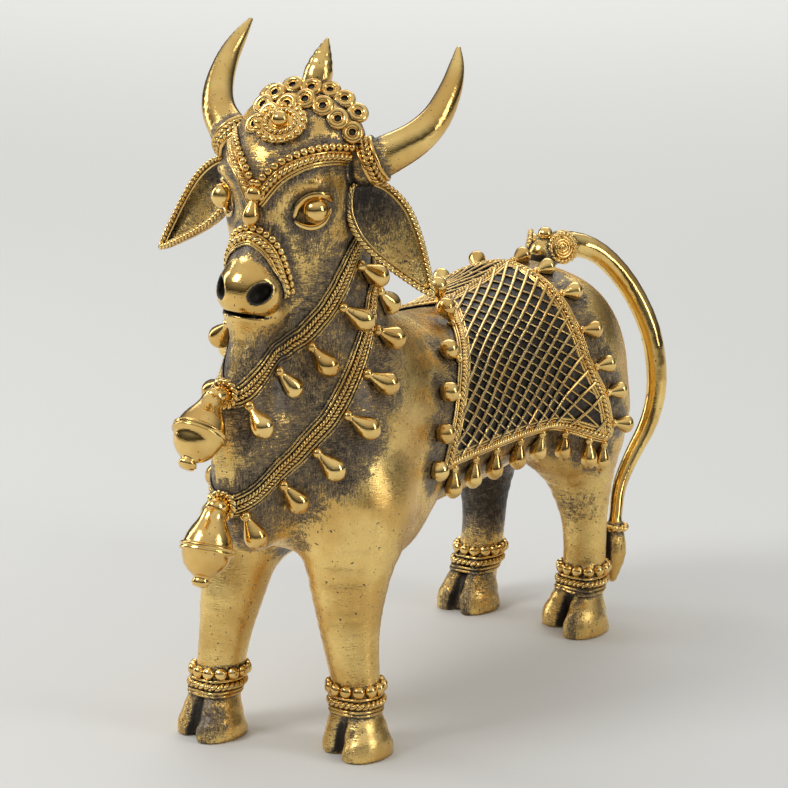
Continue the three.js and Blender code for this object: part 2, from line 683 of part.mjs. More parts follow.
// Lids as offsets from the middle of the eye, with their thickness
const UPPER_LID = [[-2.6, -0.6, -1.5, 0.3], [-1.6, -1.3, 0.7, 0.6], [0.4, -0.7, 1.9, 0.75],
  [1.5, 1.4, 1.3, 0.6], [1.9, 3, 0.2, 0.3]];
const LOWER_LID = [[-2.6, -0.6, -1.5, 0.3], [-1.2, -1.5, -1.8, 0.45], [0.7, -0.8, -2.1, 0.5],
  [1.6, 1.2, -1, 0.45], [1.9, 3, 0.2, 0.3]];

function eye(side) {
  const centre = onHead(side * EYE[0], EYE[1], EYE[2]);
  const steps = 6;
  const rows = Array.from({ length: steps + 1 }, (_, i) => {
    const turn = Math.PI * i / steps;
    return [-EYE_RADIUS * UNIT * Math.cos(turn), i % steps ? EYE_RADIUS * UNIT * Math.sin(turn) : 0];
  });
  const ball = turned(rows, 9, standing(centre, headways(side * 0.8, -0.6, 0.1)));
  const lids = [UPPER_LID, LOWER_LID].map((lid) => (
    bar(lid.map(([x, y, z, r]) => [side * (EYE[0] + x), EYE[1] + y, EYE[2] + z, r]), centre)));
  return [ball, ...lids];
}

// The neck ornaments lie near slanted planes: a point on the neck's axis, a slope and a bell;
// rise is how far the ornament is above its plane at degrees from the front
const COLLARS = [
  { middle: [0, -33.5, 67.5], slope: 1.08, stations: 34, bell: [[-0.5, -52.8, 52.6], [-0.5, -60.2, 43.6]],
    rise: [[0, 2.5], [8, 1.6], [16, -0.9], [30, -1.4], [50, -0.5], [75, 1], [95, 2], [180, 2]] },
  { middle: [0, -30, 60.5], slope: 1.19, stations: 38, bell: [[-0.3, -53.2, 37.4], [-0.3, -56.8, 27.9]],
    rise: [[0, 1.6], [5, 1.3], [10, 0], [17, -1.2], [32, -1.7], [49, -1], [75, 0.2], [97, 1.8], [180, 1.8]] },
];
const FIRST_DROP = 0.33; // of the pitch, from the front of the neck
const BELL_AXIS = -40; // hundredths, inside the chest

// The value that rows of place and value give between two places
function interpolated(rows, place) {
  const span = rows.findIndex(([far]) => far > place);
  if (span < 0) return rows.at(-1)[1];
  const [[from, a], [to, b]] = [rows[span - 1], rows[span]];
  return a + (b - a) * (place - from) / (to - from);
}

function collarStations({ middle, slope, stations, rise }) {
  const across = new THREE.Vector3(1, 0, 0);
  const down = new THREE.Vector3(0, -1, -slope).normalize();
  return Array.from({ length: stations }, (_, i) => {
    const degrees = 360 * i / stations;
    const angle = THREE.MathUtils.degToRad(degrees);
    const way = across.clone().multiplyScalar(Math.sin(angle)).addScaledVector(down, Math.cos(angle));
    const start = hundredths(...middle);
    start.z += interpolated(rise, Math.min(degrees, 360 - degrees)) * UNIT;
    return skin(start, way);
  });
}

// How far along the stations each one is
function lengthsTo(stations) {
  const lengths = [0];
  stations.slice(1).forEach(({ at }, i) => lengths.push(lengths[i] + at.distanceTo(stations[i].at)));
  return lengths;
}

// The place, counted in stations, at each share of their whole length
function placesAt(stations, shares) {
  const lengths = lengthsTo(stations);
  return shares.map((share) => {
    const wanted = share * lengths.at(-1);
    const span = lengths.findIndex((length) => length > wanted) - 1;
    return span + (wanted - lengths[span]) / (lengths[span + 1] - lengths[span]);
  });
}

function between(list, place) {
  const [a, b] = [list[Math.floor(place) % list.length], list[(Math.floor(place) + 1) % list.length]];
  const mix = (key) => a[key].clone().lerp(b[key], place % 1);
  return { at: mix('at'), side: mix('side').normalize(), normal: mix('normal').normalize() };
}

function collar(plan) {
  const stations = collarStations(plan);
  const ring = frames(stations, true);
  const band = sweep(ring, bandSection(COLLAR_WIDTH, COLLAR_RAISE), true);
  const closed = [...stations, stations[0]];
  const count = Math.round(lengthsTo(closed).at(-1) / DROP_PITCH);
  const shares = Array.from({ length: count }, (_, i) => (i + FIRST_DROP) / count);
  const drops = placesAt(closed, shares).map((place) => {
    const { at, side, normal } = between(ring, place);
    const lower = side.z < 0 ? side : side.clone().negate();
    return drop(at.addScaledVector(lower, COLLAR_WIDTH / 2), normal, lower, DROP_LENGTH, DROP_DIAMETER);
  });
  return [band, ...drops, ...bell(...plan.bell)];
}

// A round bell with a ridge round its middle and a knob below, hung from a boss on the chest
function bell(top, foot) {
  const [from, to] = [hundredths(...top), hundredths(...foot)];
  const way = to.sub(from).normalize();
  const [length, radius] = [BELL_LENGTH, BELL_DIAMETER / 2];
  const rows = [[-0.04, 0], [0, 0.4], [0.1, 0.5], [0.26, 0.78], [0.44, 0.99], [0.48, 1.12], [0.53, 1.12],
    [0.56, 0.99], [0.76, 0.78], [0.86, 0.38], [0.97, 0.32], [1, 0]];
  const round = turned(rows.map(([t, r]) => [t * length, r * radius]), 9, standing(from, way));
  const chest = skin(hundredths(top[0], BELL_AXIS, top[2]), new THREE.Vector3(0, -1, 0)).at;
  const reach = chest.y - from.y + SUNK + BELL_BOSS / 4;
  const boss = [[0, 0], [0, BELL_BOSS / 2], [reach, BELL_BOSS / 2], [reach, 0]];
  const root = standing(chest.add(new THREE.Vector3(0, SUNK, 0)), new THREE.Vector3(0, -1, 0));
  return [round, turned(boss, 8, root)];
}

// The saddle cloth on one side, as rows of place along the back and degrees from straight up
const CLOTH_EDGES = {
  front: [[9.2, 0], [6, 14], [2, 28], [-3.2, 47], [-9.7, 70], [-13.4, 90], [-15.6, 111]],
  bottom: [[-15.6, 111], [-8, 111], [0, 112], [9, 113.5], [16, 116], [22.4, 119], [29.8, 121]],
  rear: [[29.8, 121], [28.4, 103], [26.4, 91], [25.2, 79], [25, 63], [25.4, 49], [26.4, 30], [28, 0]],
  top: [[28, 0], [18, 0], [9.2, 0]],
};
const BARREL_HEIGHT = 43; // the angles turn about this height

function onBarrel(side, [along, angle]) {
  const turn = THREE.MathUtils.degToRad(angle);
  const way = new THREE.Vector3(side * Math.sin(turn), 0, Math.cos(turn));
  return skin(hundredths(0, along, BARREL_HEIGHT), way);
}

// A thin slab on the coat whose corners follow the cloth's four edges
function cloth(side) {
  const [columns, rows] = [9, 6];
  const edge = {};
  for (const [name, list] of Object.entries(CLOTH_EDGES)) edge[name] = spline(list, 6);
  const along = (list, t) => {
    const place = t * (list.length - 1);
    const [a, b] = [list[Math.floor(place)], list[Math.min(Math.floor(place) + 1, list.length - 1)]];
    return a.map((v, c) => v + (b[c] - v) * (place % 1));
  };
  const corners = [edge.front[0], edge.front.at(-1), edge.rear[0], edge.rear.at(-1)];
  const place = (s, t) => {
    const [f, r] = [along(edge.front, t), along(edge.rear, 1 - t)];
    const [b, u] = [along(edge.bottom, s), along(edge.top, 1 - s)];
    return f.map((_, c) => f[c] * (1 - s) + r[c] * s + u[c] * (1 - t) + b[c] * t
      - (corners[0][c] * (1 - t) * (1 - s) + corners[1][c] * t * (1 - s) + corners[2][c] * t * s
        + corners[3][c] * (1 - t) * s));
  };
  const points = [];
  for (const lift of [CLOTH_RAISE, -SUNK]) {
    for (let i = 0; i <= columns; i++) {
      for (let j = 0; j <= rows; j++) {
        const { at, normal } = onBarrel(side, place(i / columns, j / rows));
        points.push(at.addScaledVector(normal, lift));
      }
    }
  }
  const lower = (columns + 1) * (rows + 1);
  const index = (i, j) => i * (rows + 1) + j;
  const faces = [];
  const quad = (a, b, c, d) => faces.push([a, b, c], [a, c, d]);
  for (let i = 0; i < columns; i++) {
    for (let j = 0; j < rows; j++) {
      const [a, b, c, d] = [index(i, j), index(i, j + 1), index(i + 1, j + 1), index(i + 1, j)];
      quad(a, b, c, d);
      quad(lower + d, lower + c, lower + b, lower + a);
    }
    quad(index(i, 0), index(i + 1, 0), lower + index(i + 1, 0), lower + index(i, 0));
    quad(index(i + 1, rows), index(i, rows), lower + index(i, rows), lower + index(i + 1, rows));
  }
  for (let j = 0; j < rows; j++) {
    quad(index(0, j + 1), index(0, j), lower + index(0, j), lower + index(0, j + 1));
    const [near, far] = [index(columns, j), index(columns, j + 1)];
    quad(near, far, lower + far, lower + near);
  }
  return { points, faces };
}

// Shares of each edge of the cloth at which a drop hangs
const FRINGE = {
  front: [0.02, 0.28, 0.55, 0.74, 0.87, 0.99],
  bottom: [0.04, 0.19, 0.345, 0.515, 0.69, 0.83, 0.925, 0.995],
  rear: [0.066, 0.2, 0.34, 0.52, 0.7, 0.86, 0.985],
};
const FRINGE_SAG = 0.35; // how far the drops in front and behind turn down
const SHARED = { front: 0.02, rear: 0.985 }; // these drops serve both sides

function saddle(side) {
  const ownsSeam = side > 0; // one border along the back serves both sides
  const names = ['front', 'bottom', 'rear', ...(ownsSeam ? ['top'] : [])];
  const outline = names.flatMap((name) => spline(CLOTH_EDGES[name], 2).slice(1));
  const border = frames(outline.map((place) => onBarrel(side, place)), ownsSeam);
  const out = [cloth(side), sweep(border, bandSection(BORDER_WIDTH, BORDER_RAISE), ownsSeam)];
  for (const [name, shares] of Object.entries(FRINGE)) {
    const edge = frames(spline(CLOTH_EDGES[name], 4).map((place) => onBarrel(side, place)), false);
    for (const place of placesAt(edge, shares.filter((share) => ownsSeam || share !== SHARED[name]))) {
      const { at, side: across, normal } = between(edge, place);
      const down = new THREE.Vector3(0, 0, -1).addScaledVector(normal, normal.z);
      const away = across.multiplyScalar(name === 'bottom' ? 0 : side / FRINGE_SAG).add(down).normalize();
      at.addScaledVector(away, BORDER_WIDTH / 2);
      out.push(drop(at, normal, away, FRINGE_LENGTH, FRINGE_DIAMETER, 5));
    }
  }
  return out;
}

const BRACELETS = LEGS.map((rows) => ({ axis: rows, bottom: 5.2 }));

// Beads over a rope, as one turned band round the leg
function bracelet({ axis, bottom }) {
  const path = spline(axis, 4);
  const at = (height) => {
    const i = path.findIndex((row) => row[2] <= height);
    const [a, b] = [path[i - 1], path[i]];
    const t = (height - a[2]) / (b[2] - a[2]);
    return a.map((v, c) => v + (b[c] - v) * t);
  };
  const low = at(bottom);
  const high = at(bottom + BRACELET_HEIGHT / UNIT);
  const radius = Math.max(low[3], high[3]) * UNIT;
  const from = hundredths(low[0], low[1], low[2]);
  const way = hundredths(high[0], high[1], high[2]).sub(from);
  const rope = [[0, 0.6], [0.12, 1], [0.46, 1], [0.54, 0.5]];
  const beads = [[0.62, 1.1], [0.9, 1.1], [1, 0.4]];
  const rim = [...rope, ...beads].map(([t, share]) => [t * BRACELET_HEIGHT, radius + share * BRACELET_WALL]);
  return turned([[0, 0], ...rim, [BRACELET_HEIGHT, 0]], 12, standing(from, way));
}

// Places of the wire rings over the forehead, in the head's frame: a rear row and a front row
const CURLS = [
  [-5.5, 0.5, 5.2], [-3.5, 2, 6.4], [-3.9, -6, 5.7], [-3.1, -3.9, 7.1], [-1.7, -1.5, 8.1],
  [1.3, -1.4, 8.2], [3.3, 0.6, 7.9], [5.7, 0.4, 6.8], [7.7, 0.2, 5], [-3.2, -9.3, 3.2], [-1.9, -7.7, 4.9],
  [0, -6.2, 6.3], [2.1, -4.7, 7.1], [4.8, -4.3, 6.4], [7.1, -4.1, 4.8], [8.9, -3.1, 3],
];

function curls() {
  const centre = onHead(0, -1, 0);
  return CURLS.map(([x, y, z]) => {
    const { at, normal } = skin(centre, onHead(x, y, z).sub(centre).normalize());
    const facing = headways(0, -1, 0.3).add(normal).normalize();
    const upright = facing.clone().cross(normal).length();
    const lift = 0.32 * CURL_DIAMETER * upright; // the lowest wire is in the coat
    return ringOf(at.addScaledVector(normal, lift), facing, CURL_DIAMETER, CURL_WIRE);
  });
}

// A band over one brow, from the middle of the nose to the horn
function browBand(side) {
  const rows = [[0, -12.9, -6.2], [2.6, -12.6, -2.6], [5.4, -11, -0.4], [8, -7.4, 0.6], [9.4, -3.4, 0.2]];
  const centre = onHead(0, -3, -5);
  const stations = spline(rows, 2).map(([x, y, z]) => (
    skin(centre, onHead(side * x, y, z).sub(centre).normalize())));
  return sweep(frames(stations, false), bandSection(BROW_BAND_WIDTH, FACE_BAND_RAISE), false);
}

// The band over the nose behind the muzzle, whose ends are in the throat
function noseBand() {
  const [stationCount, halfTurn] = [13, THREE.MathUtils.degToRad(128)];
  const axis = headways(0, -0.94, -0.33);
  const middle = onHead(0, -12.5, -15.5);
  const across = headways(1, 0, 0);
  const up = axis.clone().cross(across);
  const stations = Array.from({ length: stationCount }, (_, i) => {
    const angle = halfTurn * (2 * i / (stationCount - 1) - 1);
    return skin(middle, across.clone().multiplyScalar(Math.sin(angle)).addScaledVector(up, Math.cos(angle)));
  });
  return sweep(frames(stations, false), bandSection(NOSE_BAND_WIDTH, FACE_BAND_RAISE), false);
}

function rosette() {
  const { at, normal } = skin(onHead(0, -1, 0), headways(0.08, -0.893, 0.434));
  const radius = ROSETTE_DIAMETER / 2;
  const rows = [[-SUNK, 0], [-SUNK, 0.9], [0.8, 1], [1.6, 0.86], [1.2, 0.62], [1.9, 0.46],
    [2, 0.32], [3.6, 0.2], [4, 0]];
  return turned(rows.map(([height, share]) => [height, share * radius]), 10, standing(at, normal));
}

function pendant() {
  const top = skin(onHead(0, -3, -5), headways(0, -1, -0.02));
  const foot = skin(onHead(0, -5, -9), headways(0, -1, -0.1));
  const way = foot.at.clone().sub(top.at).normalize();
  const boss = top.at.clone().addScaledVector(top.normal, -SUNK);
  const size = PENDANT_DIAMETER;
  const ball = [[0, 0], [0.4 * size, 0.5 * size], [0.8 * size, 0.5 * size], [size, 0]];
  const knob = turned(ball, 7, standing(boss, top.normal));
  return [knob, drop(top.at, top.normal, way, PENDANT_LENGTH, PENDANT_DIAMETER, 7)];
}

function hornRings() {
  return HORNS.map((rows) => {
    const [a, b] = [onHead(...rows[0].slice(0, 3)), onHead(...rows[1].slice(0, 3))];
    const at = a.clone().lerp(b, 0.25);
    const diameter = 2 * (rows[0][3] * UNIT) + HORN_RING_WIRE;
    return ringOf(at, b.sub(a), diameter, HORN_RING_WIRE, 5, 12);
  });
}

function tailTrim() {
  const path = TAIL.map((row) => hundredths(...row.slice(0, 3)));
  const rootAxis = path[1].clone().sub(path[0]);
  const collarDiameter = 2 * TAIL[1][3] * UNIT + TAIL_RING_WIRE;
  const top = path[0].clone().add(new THREE.Vector3(0, 0, TAIL[0][3] * UNIT));
  const radius = TAIL_BALL_DIAMETER / 2;
  const rows = [[-0.5, 0], [-0.2, 0.8], [0.6, 1], [1.4, 0.6], [1.6, 0]];
  const ball = rows.map(([t, r]) => [t * radius, r * radius]);
  const knot = hundredths(...TUFT[0].slice(0, 3));
  const knotDiameter = 2 * TUFT[0][3] * UNIT + TAIL_RING_WIRE;
  return [
    ringOf(path[0].clone().lerp(path[1], 0.75), rootAxis, collarDiameter, TAIL_RING_WIRE, 5, 10),
    turned(ball, 7, standing(top, new THREE.Vector3(0, 0, 1))),
    ringOf(knot, new THREE.Vector3(0, 0, 1), knotDiameter, TAIL_RING_WIRE, 4, 8),
  ];
}

function ornaments() {
  return [
    ...COLLARS.flatMap(collar),
    ...SIDES.flatMap(saddle),
    ...BRACELETS.map(bracelet),
    ...curls(),
    ...SIDES.map(ear),
    ...SIDES.flatMap(eye),
    ...SIDES.map(browBand),
    noseBand(),
    rosette(),
    ...pendant(),
    ...hornRings(),
    ...tailTrim(),
  ];
}

// The casting

const SPACE = new THREE.Box3(hundredths(-28, -62, -4), hundredths(28, 64, 106)); // holds it all

function casting() {
  const face = hundredths(...HEAD.centre);
  const care = (p) => (p.distanceTo(face) < HEAD.reach * UNIT ? FACE_CARE : 1);
  const net = thinOut(polygonise(SPACE, GRID), BODY_TRIANGLES, care);
  net.points.forEach((p) => settle(p, GRID));
  const whole = wasm.Manifold.union([solid(net), ...ornaments().map(solid)]);
  const thinned = solid(thinOut(facets(whole), TRIANGLES, care));
  const ground = new THREE.BoxGeometry(...SPACE.getSize(new THREE.Vector3()).multiplyScalar(1.2));
  const sunk = new THREE.Matrix4().makeTranslation(0, 0, -ground.parameters.depth / 2);
  return facets(thinned.subtract(solid(fromGeometry(ground, sunk))));
}

function brass() {
  return new THREE.MeshStandardMaterial({ color: 0xb08d4a, roughness: 0.35, metalness: 1 });
}

function bull() {
  const { points, faces } = casting();
  const geometry = new THREE.BufferGeometry().setFromPoints(points);
  geometry.setIndex(faces.flat());
  geometry.computeVertexNormals();
  const mesh = new THREE.Mesh(geometry, brass());
  mesh.name = 'bull';
  geometry.computeBoundingBox();
  const centre = geometry.boundingBox.getCenter(new THREE.Vector3());
  mesh.position.set(-centre.x, -centre.y, 0);
  return mesh;
}

const group = new THREE.Group();
group.add(bull());

export default group;
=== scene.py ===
"""The looks of a cast brass Nandi bull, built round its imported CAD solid.

The sculpture is a blend of rounded forms, meshed finely here. Its places and sizes are in
hundredths of the figure's height, with +Z up, the bull looking along -Y and its left at +X.
"""

import math
from functools import partial

import bpy
import numpy as np
from mathutils import Matrix, Vector
from mathutils.kdtree import KDTree


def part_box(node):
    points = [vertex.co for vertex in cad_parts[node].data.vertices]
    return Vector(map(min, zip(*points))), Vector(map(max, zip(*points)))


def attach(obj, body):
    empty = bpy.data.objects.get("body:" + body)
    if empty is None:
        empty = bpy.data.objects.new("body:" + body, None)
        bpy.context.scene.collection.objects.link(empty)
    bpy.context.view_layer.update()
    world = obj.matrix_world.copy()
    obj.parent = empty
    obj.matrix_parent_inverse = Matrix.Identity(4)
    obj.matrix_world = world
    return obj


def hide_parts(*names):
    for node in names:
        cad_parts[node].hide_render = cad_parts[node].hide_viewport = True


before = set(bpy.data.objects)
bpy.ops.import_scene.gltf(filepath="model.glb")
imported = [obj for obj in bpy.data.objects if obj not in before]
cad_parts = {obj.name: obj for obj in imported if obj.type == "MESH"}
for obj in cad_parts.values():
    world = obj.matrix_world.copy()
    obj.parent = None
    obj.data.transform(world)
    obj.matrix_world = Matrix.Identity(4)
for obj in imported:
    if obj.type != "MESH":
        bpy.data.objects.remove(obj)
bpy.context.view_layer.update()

CAD_HEIGHT = 99.16  # of the solid, in hundredths of the nominal figure
UNIT = (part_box("bull")[1].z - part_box("bull")[0].z) / CAD_HEIGHT
MIDDLE = np.array([0.3446, 1.8138, 0.0])  # what brings the box's middle to the origin

BODY_CELL = 0.5  # spacing of the fine net over trunk and legs
HEAD_CELL = 0.33
SIDES = (1, -1)  # left, right
FAR = 1e3


# Numbers and curves

def array(*rows):
    return np.array(rows, float)


UP = array(0, 0, 1)
FORWARD = array(0, -1, 0)


def lengths(v):
    return np.linalg.norm(v, axis=-1)


def unit(v):
    return v / np.maximum(np.linalg.norm(v, axis=-1, keepdims=True), 1e-12)


def smooth_min(a, b, width):
    overlap = np.maximum(width - np.abs(a - b), 0) / width
    return np.minimum(a, b) - overlap * overlap * width / 4


def fade(low, high, v):
    """One up to low, falling smoothly to zero at high."""
    t = np.clip((v - low) / (high - low), 0, 1)
    return 1 - t * t * (3 - 2 * t)


def turning(x, y, z):
    """The matrix of turns about X, then Y, then Z, in degrees."""
    return np.array(Matrix.Rotation(math.radians(z), 3, "Z") @ Matrix.Rotation(math.radians(y), 3, "Y")
                    @ Matrix.Rotation(math.radians(x), 3, "X"))


def spline(rows, steps):
    """Points of a smooth curve through rows of numbers, with the given steps in each span."""
    rows = np.array(rows, float)
    all_rows = np.vstack([2 * rows[0] - rows[1], rows, 2 * rows[-1] - rows[-2]])
    t = (np.arange(steps) / steps)[:, None]
    spans = []
    for a, b, c, d in zip(all_rows, all_rows[1:], all_rows[2:], all_rows[3:]):
        spans.append(b + 0.5 * t * (c - a + t * (2 * a - 5 * b + 4 * c - d + t * (3 * b - a - 3 * c + d))))
    return np.vstack(spans + [rows[-1:]])


def resample(rows, spacing, ring=False):
    """Rows whose first three numbers are a place, put at equal distances along their path."""
    rows = np.asarray(rows, float)
    if ring:
        rows = np.vstack([rows, rows[:1]])
    far = np.concatenate([[0], np.cumsum(lengths(np.diff(rows[:, :3], axis=0)))])
    count = max(4, int(round(far[-1] / spacing)))
    wanted = np.linspace(0, far[-1], count + 1)[:count if ring else count + 1]
    return np.column_stack([np.interp(wanted, far, column) for column in rows.T])


def path_length(at):
    return lengths(np.diff(at, axis=0)).sum()


def evenly(at, normal, spacing, ring=False):
    """Places at equal distances along a path, and their normals."""
    path = resample(np.column_stack([at, normal]), spacing, ring)
    return path[:, :3], unit(path[:, 3:6])


# Rounded forms: a distance from the surface, with a middle and a reach

def egg(at, half, turn=(0, 0, 0)):
    centre, half, spin = np.array(at, float), np.array(half, float), turning(*turn)

    def distance(p):
        q = (p - centre) @ spin / half
        scaled = lengths(q)
        return scaled * (scaled - 1) / np.maximum(lengths(q / half), 1e-9)
    return distance, centre, half.max()


def limb(rows, steps=3, squash=1):
    """A round limb through rows of x, y, z and radius; squash above 1 makes it narrower in x."""
    path = spline(rows, steps)
    middle = path[:, 0].mean()

    def distance(p):
        q = p.copy()
        q[:, 0] = (p[:, 0] - middle) * squash + middle
        best = np.full(len(p), FAR)
        for a, b in zip(path, path[1:]):
            way = b[:3] - a[:3]
            from_a = q - a[:3]
            t = np.clip(from_a @ way / (way @ way), 0, 1)
            from_a -= t[:, None] * way
            gap = np.sqrt((from_a * from_a).sum(1)) - a[3] - t * (b[3] - a[3])
            np.minimum(best, gap, out=best)
        return best / squash
    centre = (path[:, :3].min(0) + path[:, :3].max(0)) / 2
    reach = (lengths(path[:, :3] - centre) + path[:, 3]).max()
    return distance, centre, reach * squash


NEARBY = 9  # further than this from a form, it makes no difference


def fold(best, p, form, width, nearby, sign):
    """Join a form to the distances at places, or cut it out of them if the sign is -1."""
    shape, centre, reach = form
    near = ((p - centre) ** 2).sum(1) < (reach + nearby) ** 2
    if near.any():
        best[near] = sign * smooth_min(sign * best[near], shape(p[near]), width)


def blend(forms):
    """Forms joined one after another, each with its own width of blending."""
    def distance(p):
        best = np.full(len(p), FAR)
        for form, width in forms:
            fold(best, p, form, width, NEARBY, 1)
        return best
    return distance


def carve(distance, cutters, width):
    def carved(p):
        best = distance(p)
        for cutter in cutters:
            fold(best, p, cutter, width, width, -1)
        return best
    return carved


# The sculpture, with the same numbers as the solid

TRUNK = [
    (limb([[0, -28, 43, 12.2], [0, -14, 42.2, 14.6], [0, 6, 41.2, 14.1], [0, 26, 43.1, 14.3]], 4), 1),
    (egg([0.3, -35, 43], [8.2, 12.5, 15]), 5),
    (egg([0, 33, 44.6], [13, 12.5, 13.5]), 5),
    (egg([7.2, -30, 40], [6.8, 9, 14], [0, -6, 0]), 5),
    (egg([-5.4, -29.5, 40], [6.4, 8.4, 14], [0, 6, 0]), 5),
    *((egg([side * 8, 33.5, 40], [9.2, 11.6, 15]), 5) for side in SIDES),
    (egg([7.6, -23, 33.5], [6, 9.5, 9]), 6),
    (egg([-7, -24, 33.5], [5.6, 9, 9]), 6),
    (egg([0, -15, 48.6], [7.2, 10, 7.6]), 6),
]
NECK = [
    (limb([[0, -26, 50, 12.5], [0, -30.5, 61, 10.8], [0.3, -31.5, 70, 9.6], [0.6, -31, 78, 8.2]],
          4, 1.05), 6),
    (limb([[0.4, -43.4, 64, 2.3], [0, -46, 56, 2.6], [0, -47.8, 48, 3], [0, -48.2, 40, 3.2],
           [0, -45.5, 33, 3.2]]), 5),
]
LEGS = [
    [[8.2, -31.2, 34, 7.6], [8.5, -32.8, 26, 6.1], [9, -33.8, 20, 4.8], [9.7, -34.4, 15, 3.95],
     [10.6, -34.6, 9.5, 3.4], [11.1, -35, 5, 3.2]],
    [[-7.2, -32.4, 34, 5.8], [-8.1, -34.6, 26, 5], [-9, -36.2, 20, 4.5], [-9.6, -37, 15, 3.8],
     [-10.3, -37.4, 9.5, 3.4], [-10.6, -37.8, 5, 3.2]],
    [[9.2, 33.6, 34, 8.6], [9.4, 36, 25, 5.6], [9.9, 36.8, 18, 3.85], [10.1, 36.9, 13, 3.45],
     [10.3, 36.4, 9, 3.4], [10.4, 35.6, 5, 3.2]],
    [[-9.2, 35.8, 34, 8.6], [-9.2, 38.4, 25, 5.6], [-9.6, 39.4, 18, 3.9], [-9.8, 39.5, 13, 3.5],
     [-10, 39, 9, 3.45], [-10.2, 38, 5, 3.25]],
]
# Two claws on each hoof: top x, y, sole x, y and half width and length of the sole
CLAWS = [
    [[12, -35.6, 14.1, -36.9, 3.3, 4.8], [10, -35.4, 9, -35.1, 2.9, 4.2]],
    [[-9.6, -38.6, -8.4, -40, 3.2, 5], [-11.8, -38.2, -13.1, -38.8, 2.8, 4.4]],
    [[11.6, 35, 14.1, 30.9, 3.2, 5.2], [9.3, 35.6, 7.1, 34.6, 3, 4.4]],
    [[-9.2, 37.2, -7, 33.8, 3, 5], [-11.2, 37.4, -12, 34.3, 2.8, 4.4]],
]
HEAD_TURN = turning(0, 4.5, 4.5)  # the head has its own frame
HEAD_AT = array(0.7, -31.5, 84.5)
HEAD_REACH = (array(0, -31, 84), 29)
HORNS = [
    [[9.6, -0.5, -1.6, 3], [12.4, 0.6, 0, 2.75], [15.6, 2.4, 2.4, 2.4], [17.3, 5, 5.2, 2.05],
     [17.7, 8, 8.8, 1.6], [17.3, 10.3, 11.6, 1.1], [16.5, 12.3, 14, 0.35]],
    [[-9.6, -0.5, -1.6, 3], [-12.2, 0.6, 0, 2.75], [-15, 2.4, 2.4, 2.4], [-16.6, 5, 5.2, 2.05],
     [-17.1, 8, 8.8, 1.6], [-16.7, 10.3, 11.6, 1.1], [-16.1, 12.3, 14, 0.35]],
]
MUZZLE = egg([0.3, -14, -18.4], [4.6, 4.3, 4.3])
SKULL = [
    (egg([0, -0.8, 0.3], [9.2, 7.6, 7.2]), 1),
    (egg([0, -6.5, -3], [7.8, 6.2, 6.5]), 3),
    (limb([[0, -7.5, -4, 5.4], [0, -8.6, -9, 4.9], [0, -10.6, -13.5, 4.1], [0, -12.8, -16.4, 3.7]]), 2.5),
    (limb([[0, 0, -8, 7.2], [0, -4, -13, 5.4], [0, -10, -19, 3.2]]), 3),
    *((egg([side * 4.6, -3, -9], [4.2, 6, 6.5]), 3) for side in SIDES),
    *((egg([side * 5.2, -9, -3.6], [3, 2.4, 1.8]), 1.5) for side in SIDES),
    (MUZZLE, 0.5),
    (egg([0.2, -12.6, -21.2], [4, 4.4, 3]), 0.25),
]
NOSTRILS = [egg([0.3 + side * 3.1, -17.2, -17.9], [1.05, 2.7, 1.5], [0, side * 35, 0]) for side in SIDES]
MOUTH = egg([0.2, -15.5, -21.4], [4.4, 3.2, 0.28], [-8, 0, 0])
EYE_SOCKETS = [egg([side * 7.8, -10.4, -7.1], [2.9, 2.2, 2.7]) for side in SIDES]
KNOB = [[0, 2.3, 7.8, 2], [0, 2.9, 9.4, 2], [0, 3.8, 11.6, 1.3], [0, 4.9, 13.9, 0.25]]
TAIL = [[0.3, 40.5, 58.4, 2.6], [1.8, 47, 59, 2.1], [5, 51, 57.1, 1.8], [8.7, 54, 51.9, 1.75],
        [12.3, 55, 44.6, 1.7], [13.7, 55, 36.4, 1.65], [13.2, 53.5, 30, 1.5], [11.9, 50, 24.7, 1.3],
        [11.2, 47, 20.2, 1.15], [11.6, 45, 16.2, 1.05], [11.9, 44, 13.4, 1.1]]
TUFT = [[11.9, 44.2, 14, 1.3], [12.1, 43.4, 10, 2], [12.3, 42.6, 6, 0.8]]


def claw(top_x, top_y, sole_x, sole_y, half_x, half_y):
    middle = [0.6 * top_x + 0.4 * sole_x, 0.6 * top_y + 0.4 * sole_y, 4, 3.5]
    return limb([[top_x, top_y, 7.2, 2.8], middle, [sole_x, sole_y, 0.9, half_y]], 2, half_y / half_x)


def cleft(left, right):
    top = [(left[0] + right[0]) / 2, min(left[1], right[1]) - 3.2]
    sole = [(left[2] - left[4] + right[2] + right[4]) / 2, max(left[3] - left[5], right[3] - right[5]) - 0.2]
    middle = [(top[0] + sole[0]) / 2, top[1] * 0.4 + sole[1] * 0.6]
    return limb([[*top, 7.4, 0.1], [*middle, 4, 0.55], [*sole, 0, 1.3], [*sole, -2, 1.5]], 2)


def in_head(p):
    return (p - HEAD_AT) @ HEAD_TURN


def on_head(p):
    return np.asarray(p, float) @ HEAD_TURN.T + HEAD_AT


def headways(*way):
    return unit(array(*way) @ HEAD_TURN.T)


STANDING_FORMS = TRUNK + NECK + [(limb(rows), 3.5) for rows in LEGS]


def sculpture():
    face = carve(carve(carve(blend(SKULL), EYE_SOCKETS, 1.5), NOSTRILS, 0.5), [MOUTH], 0.3)
    extras = blend([(limb(rows, 4), 0.8) for rows in HORNS] + [(limb(KNOB, 2), 0.5)])

    def head(p):
        q = in_head(p)
        return smooth_min(face(q), extras(q), 0.6)
    forms = STANDING_FORMS + [(claw(*row), 0.6) for pair in CLAWS for row in pair]
    forms += [((head, *HEAD_REACH), 2.5), (limb(TAIL), 0.8), (limb(TUFT), 0.5)]
    hooved = carve(blend(forms), [cleft(*pair) for pair in CLAWS], 0.6)
    return lambda p: np.maximum(hooved(p), -p[:, 2])


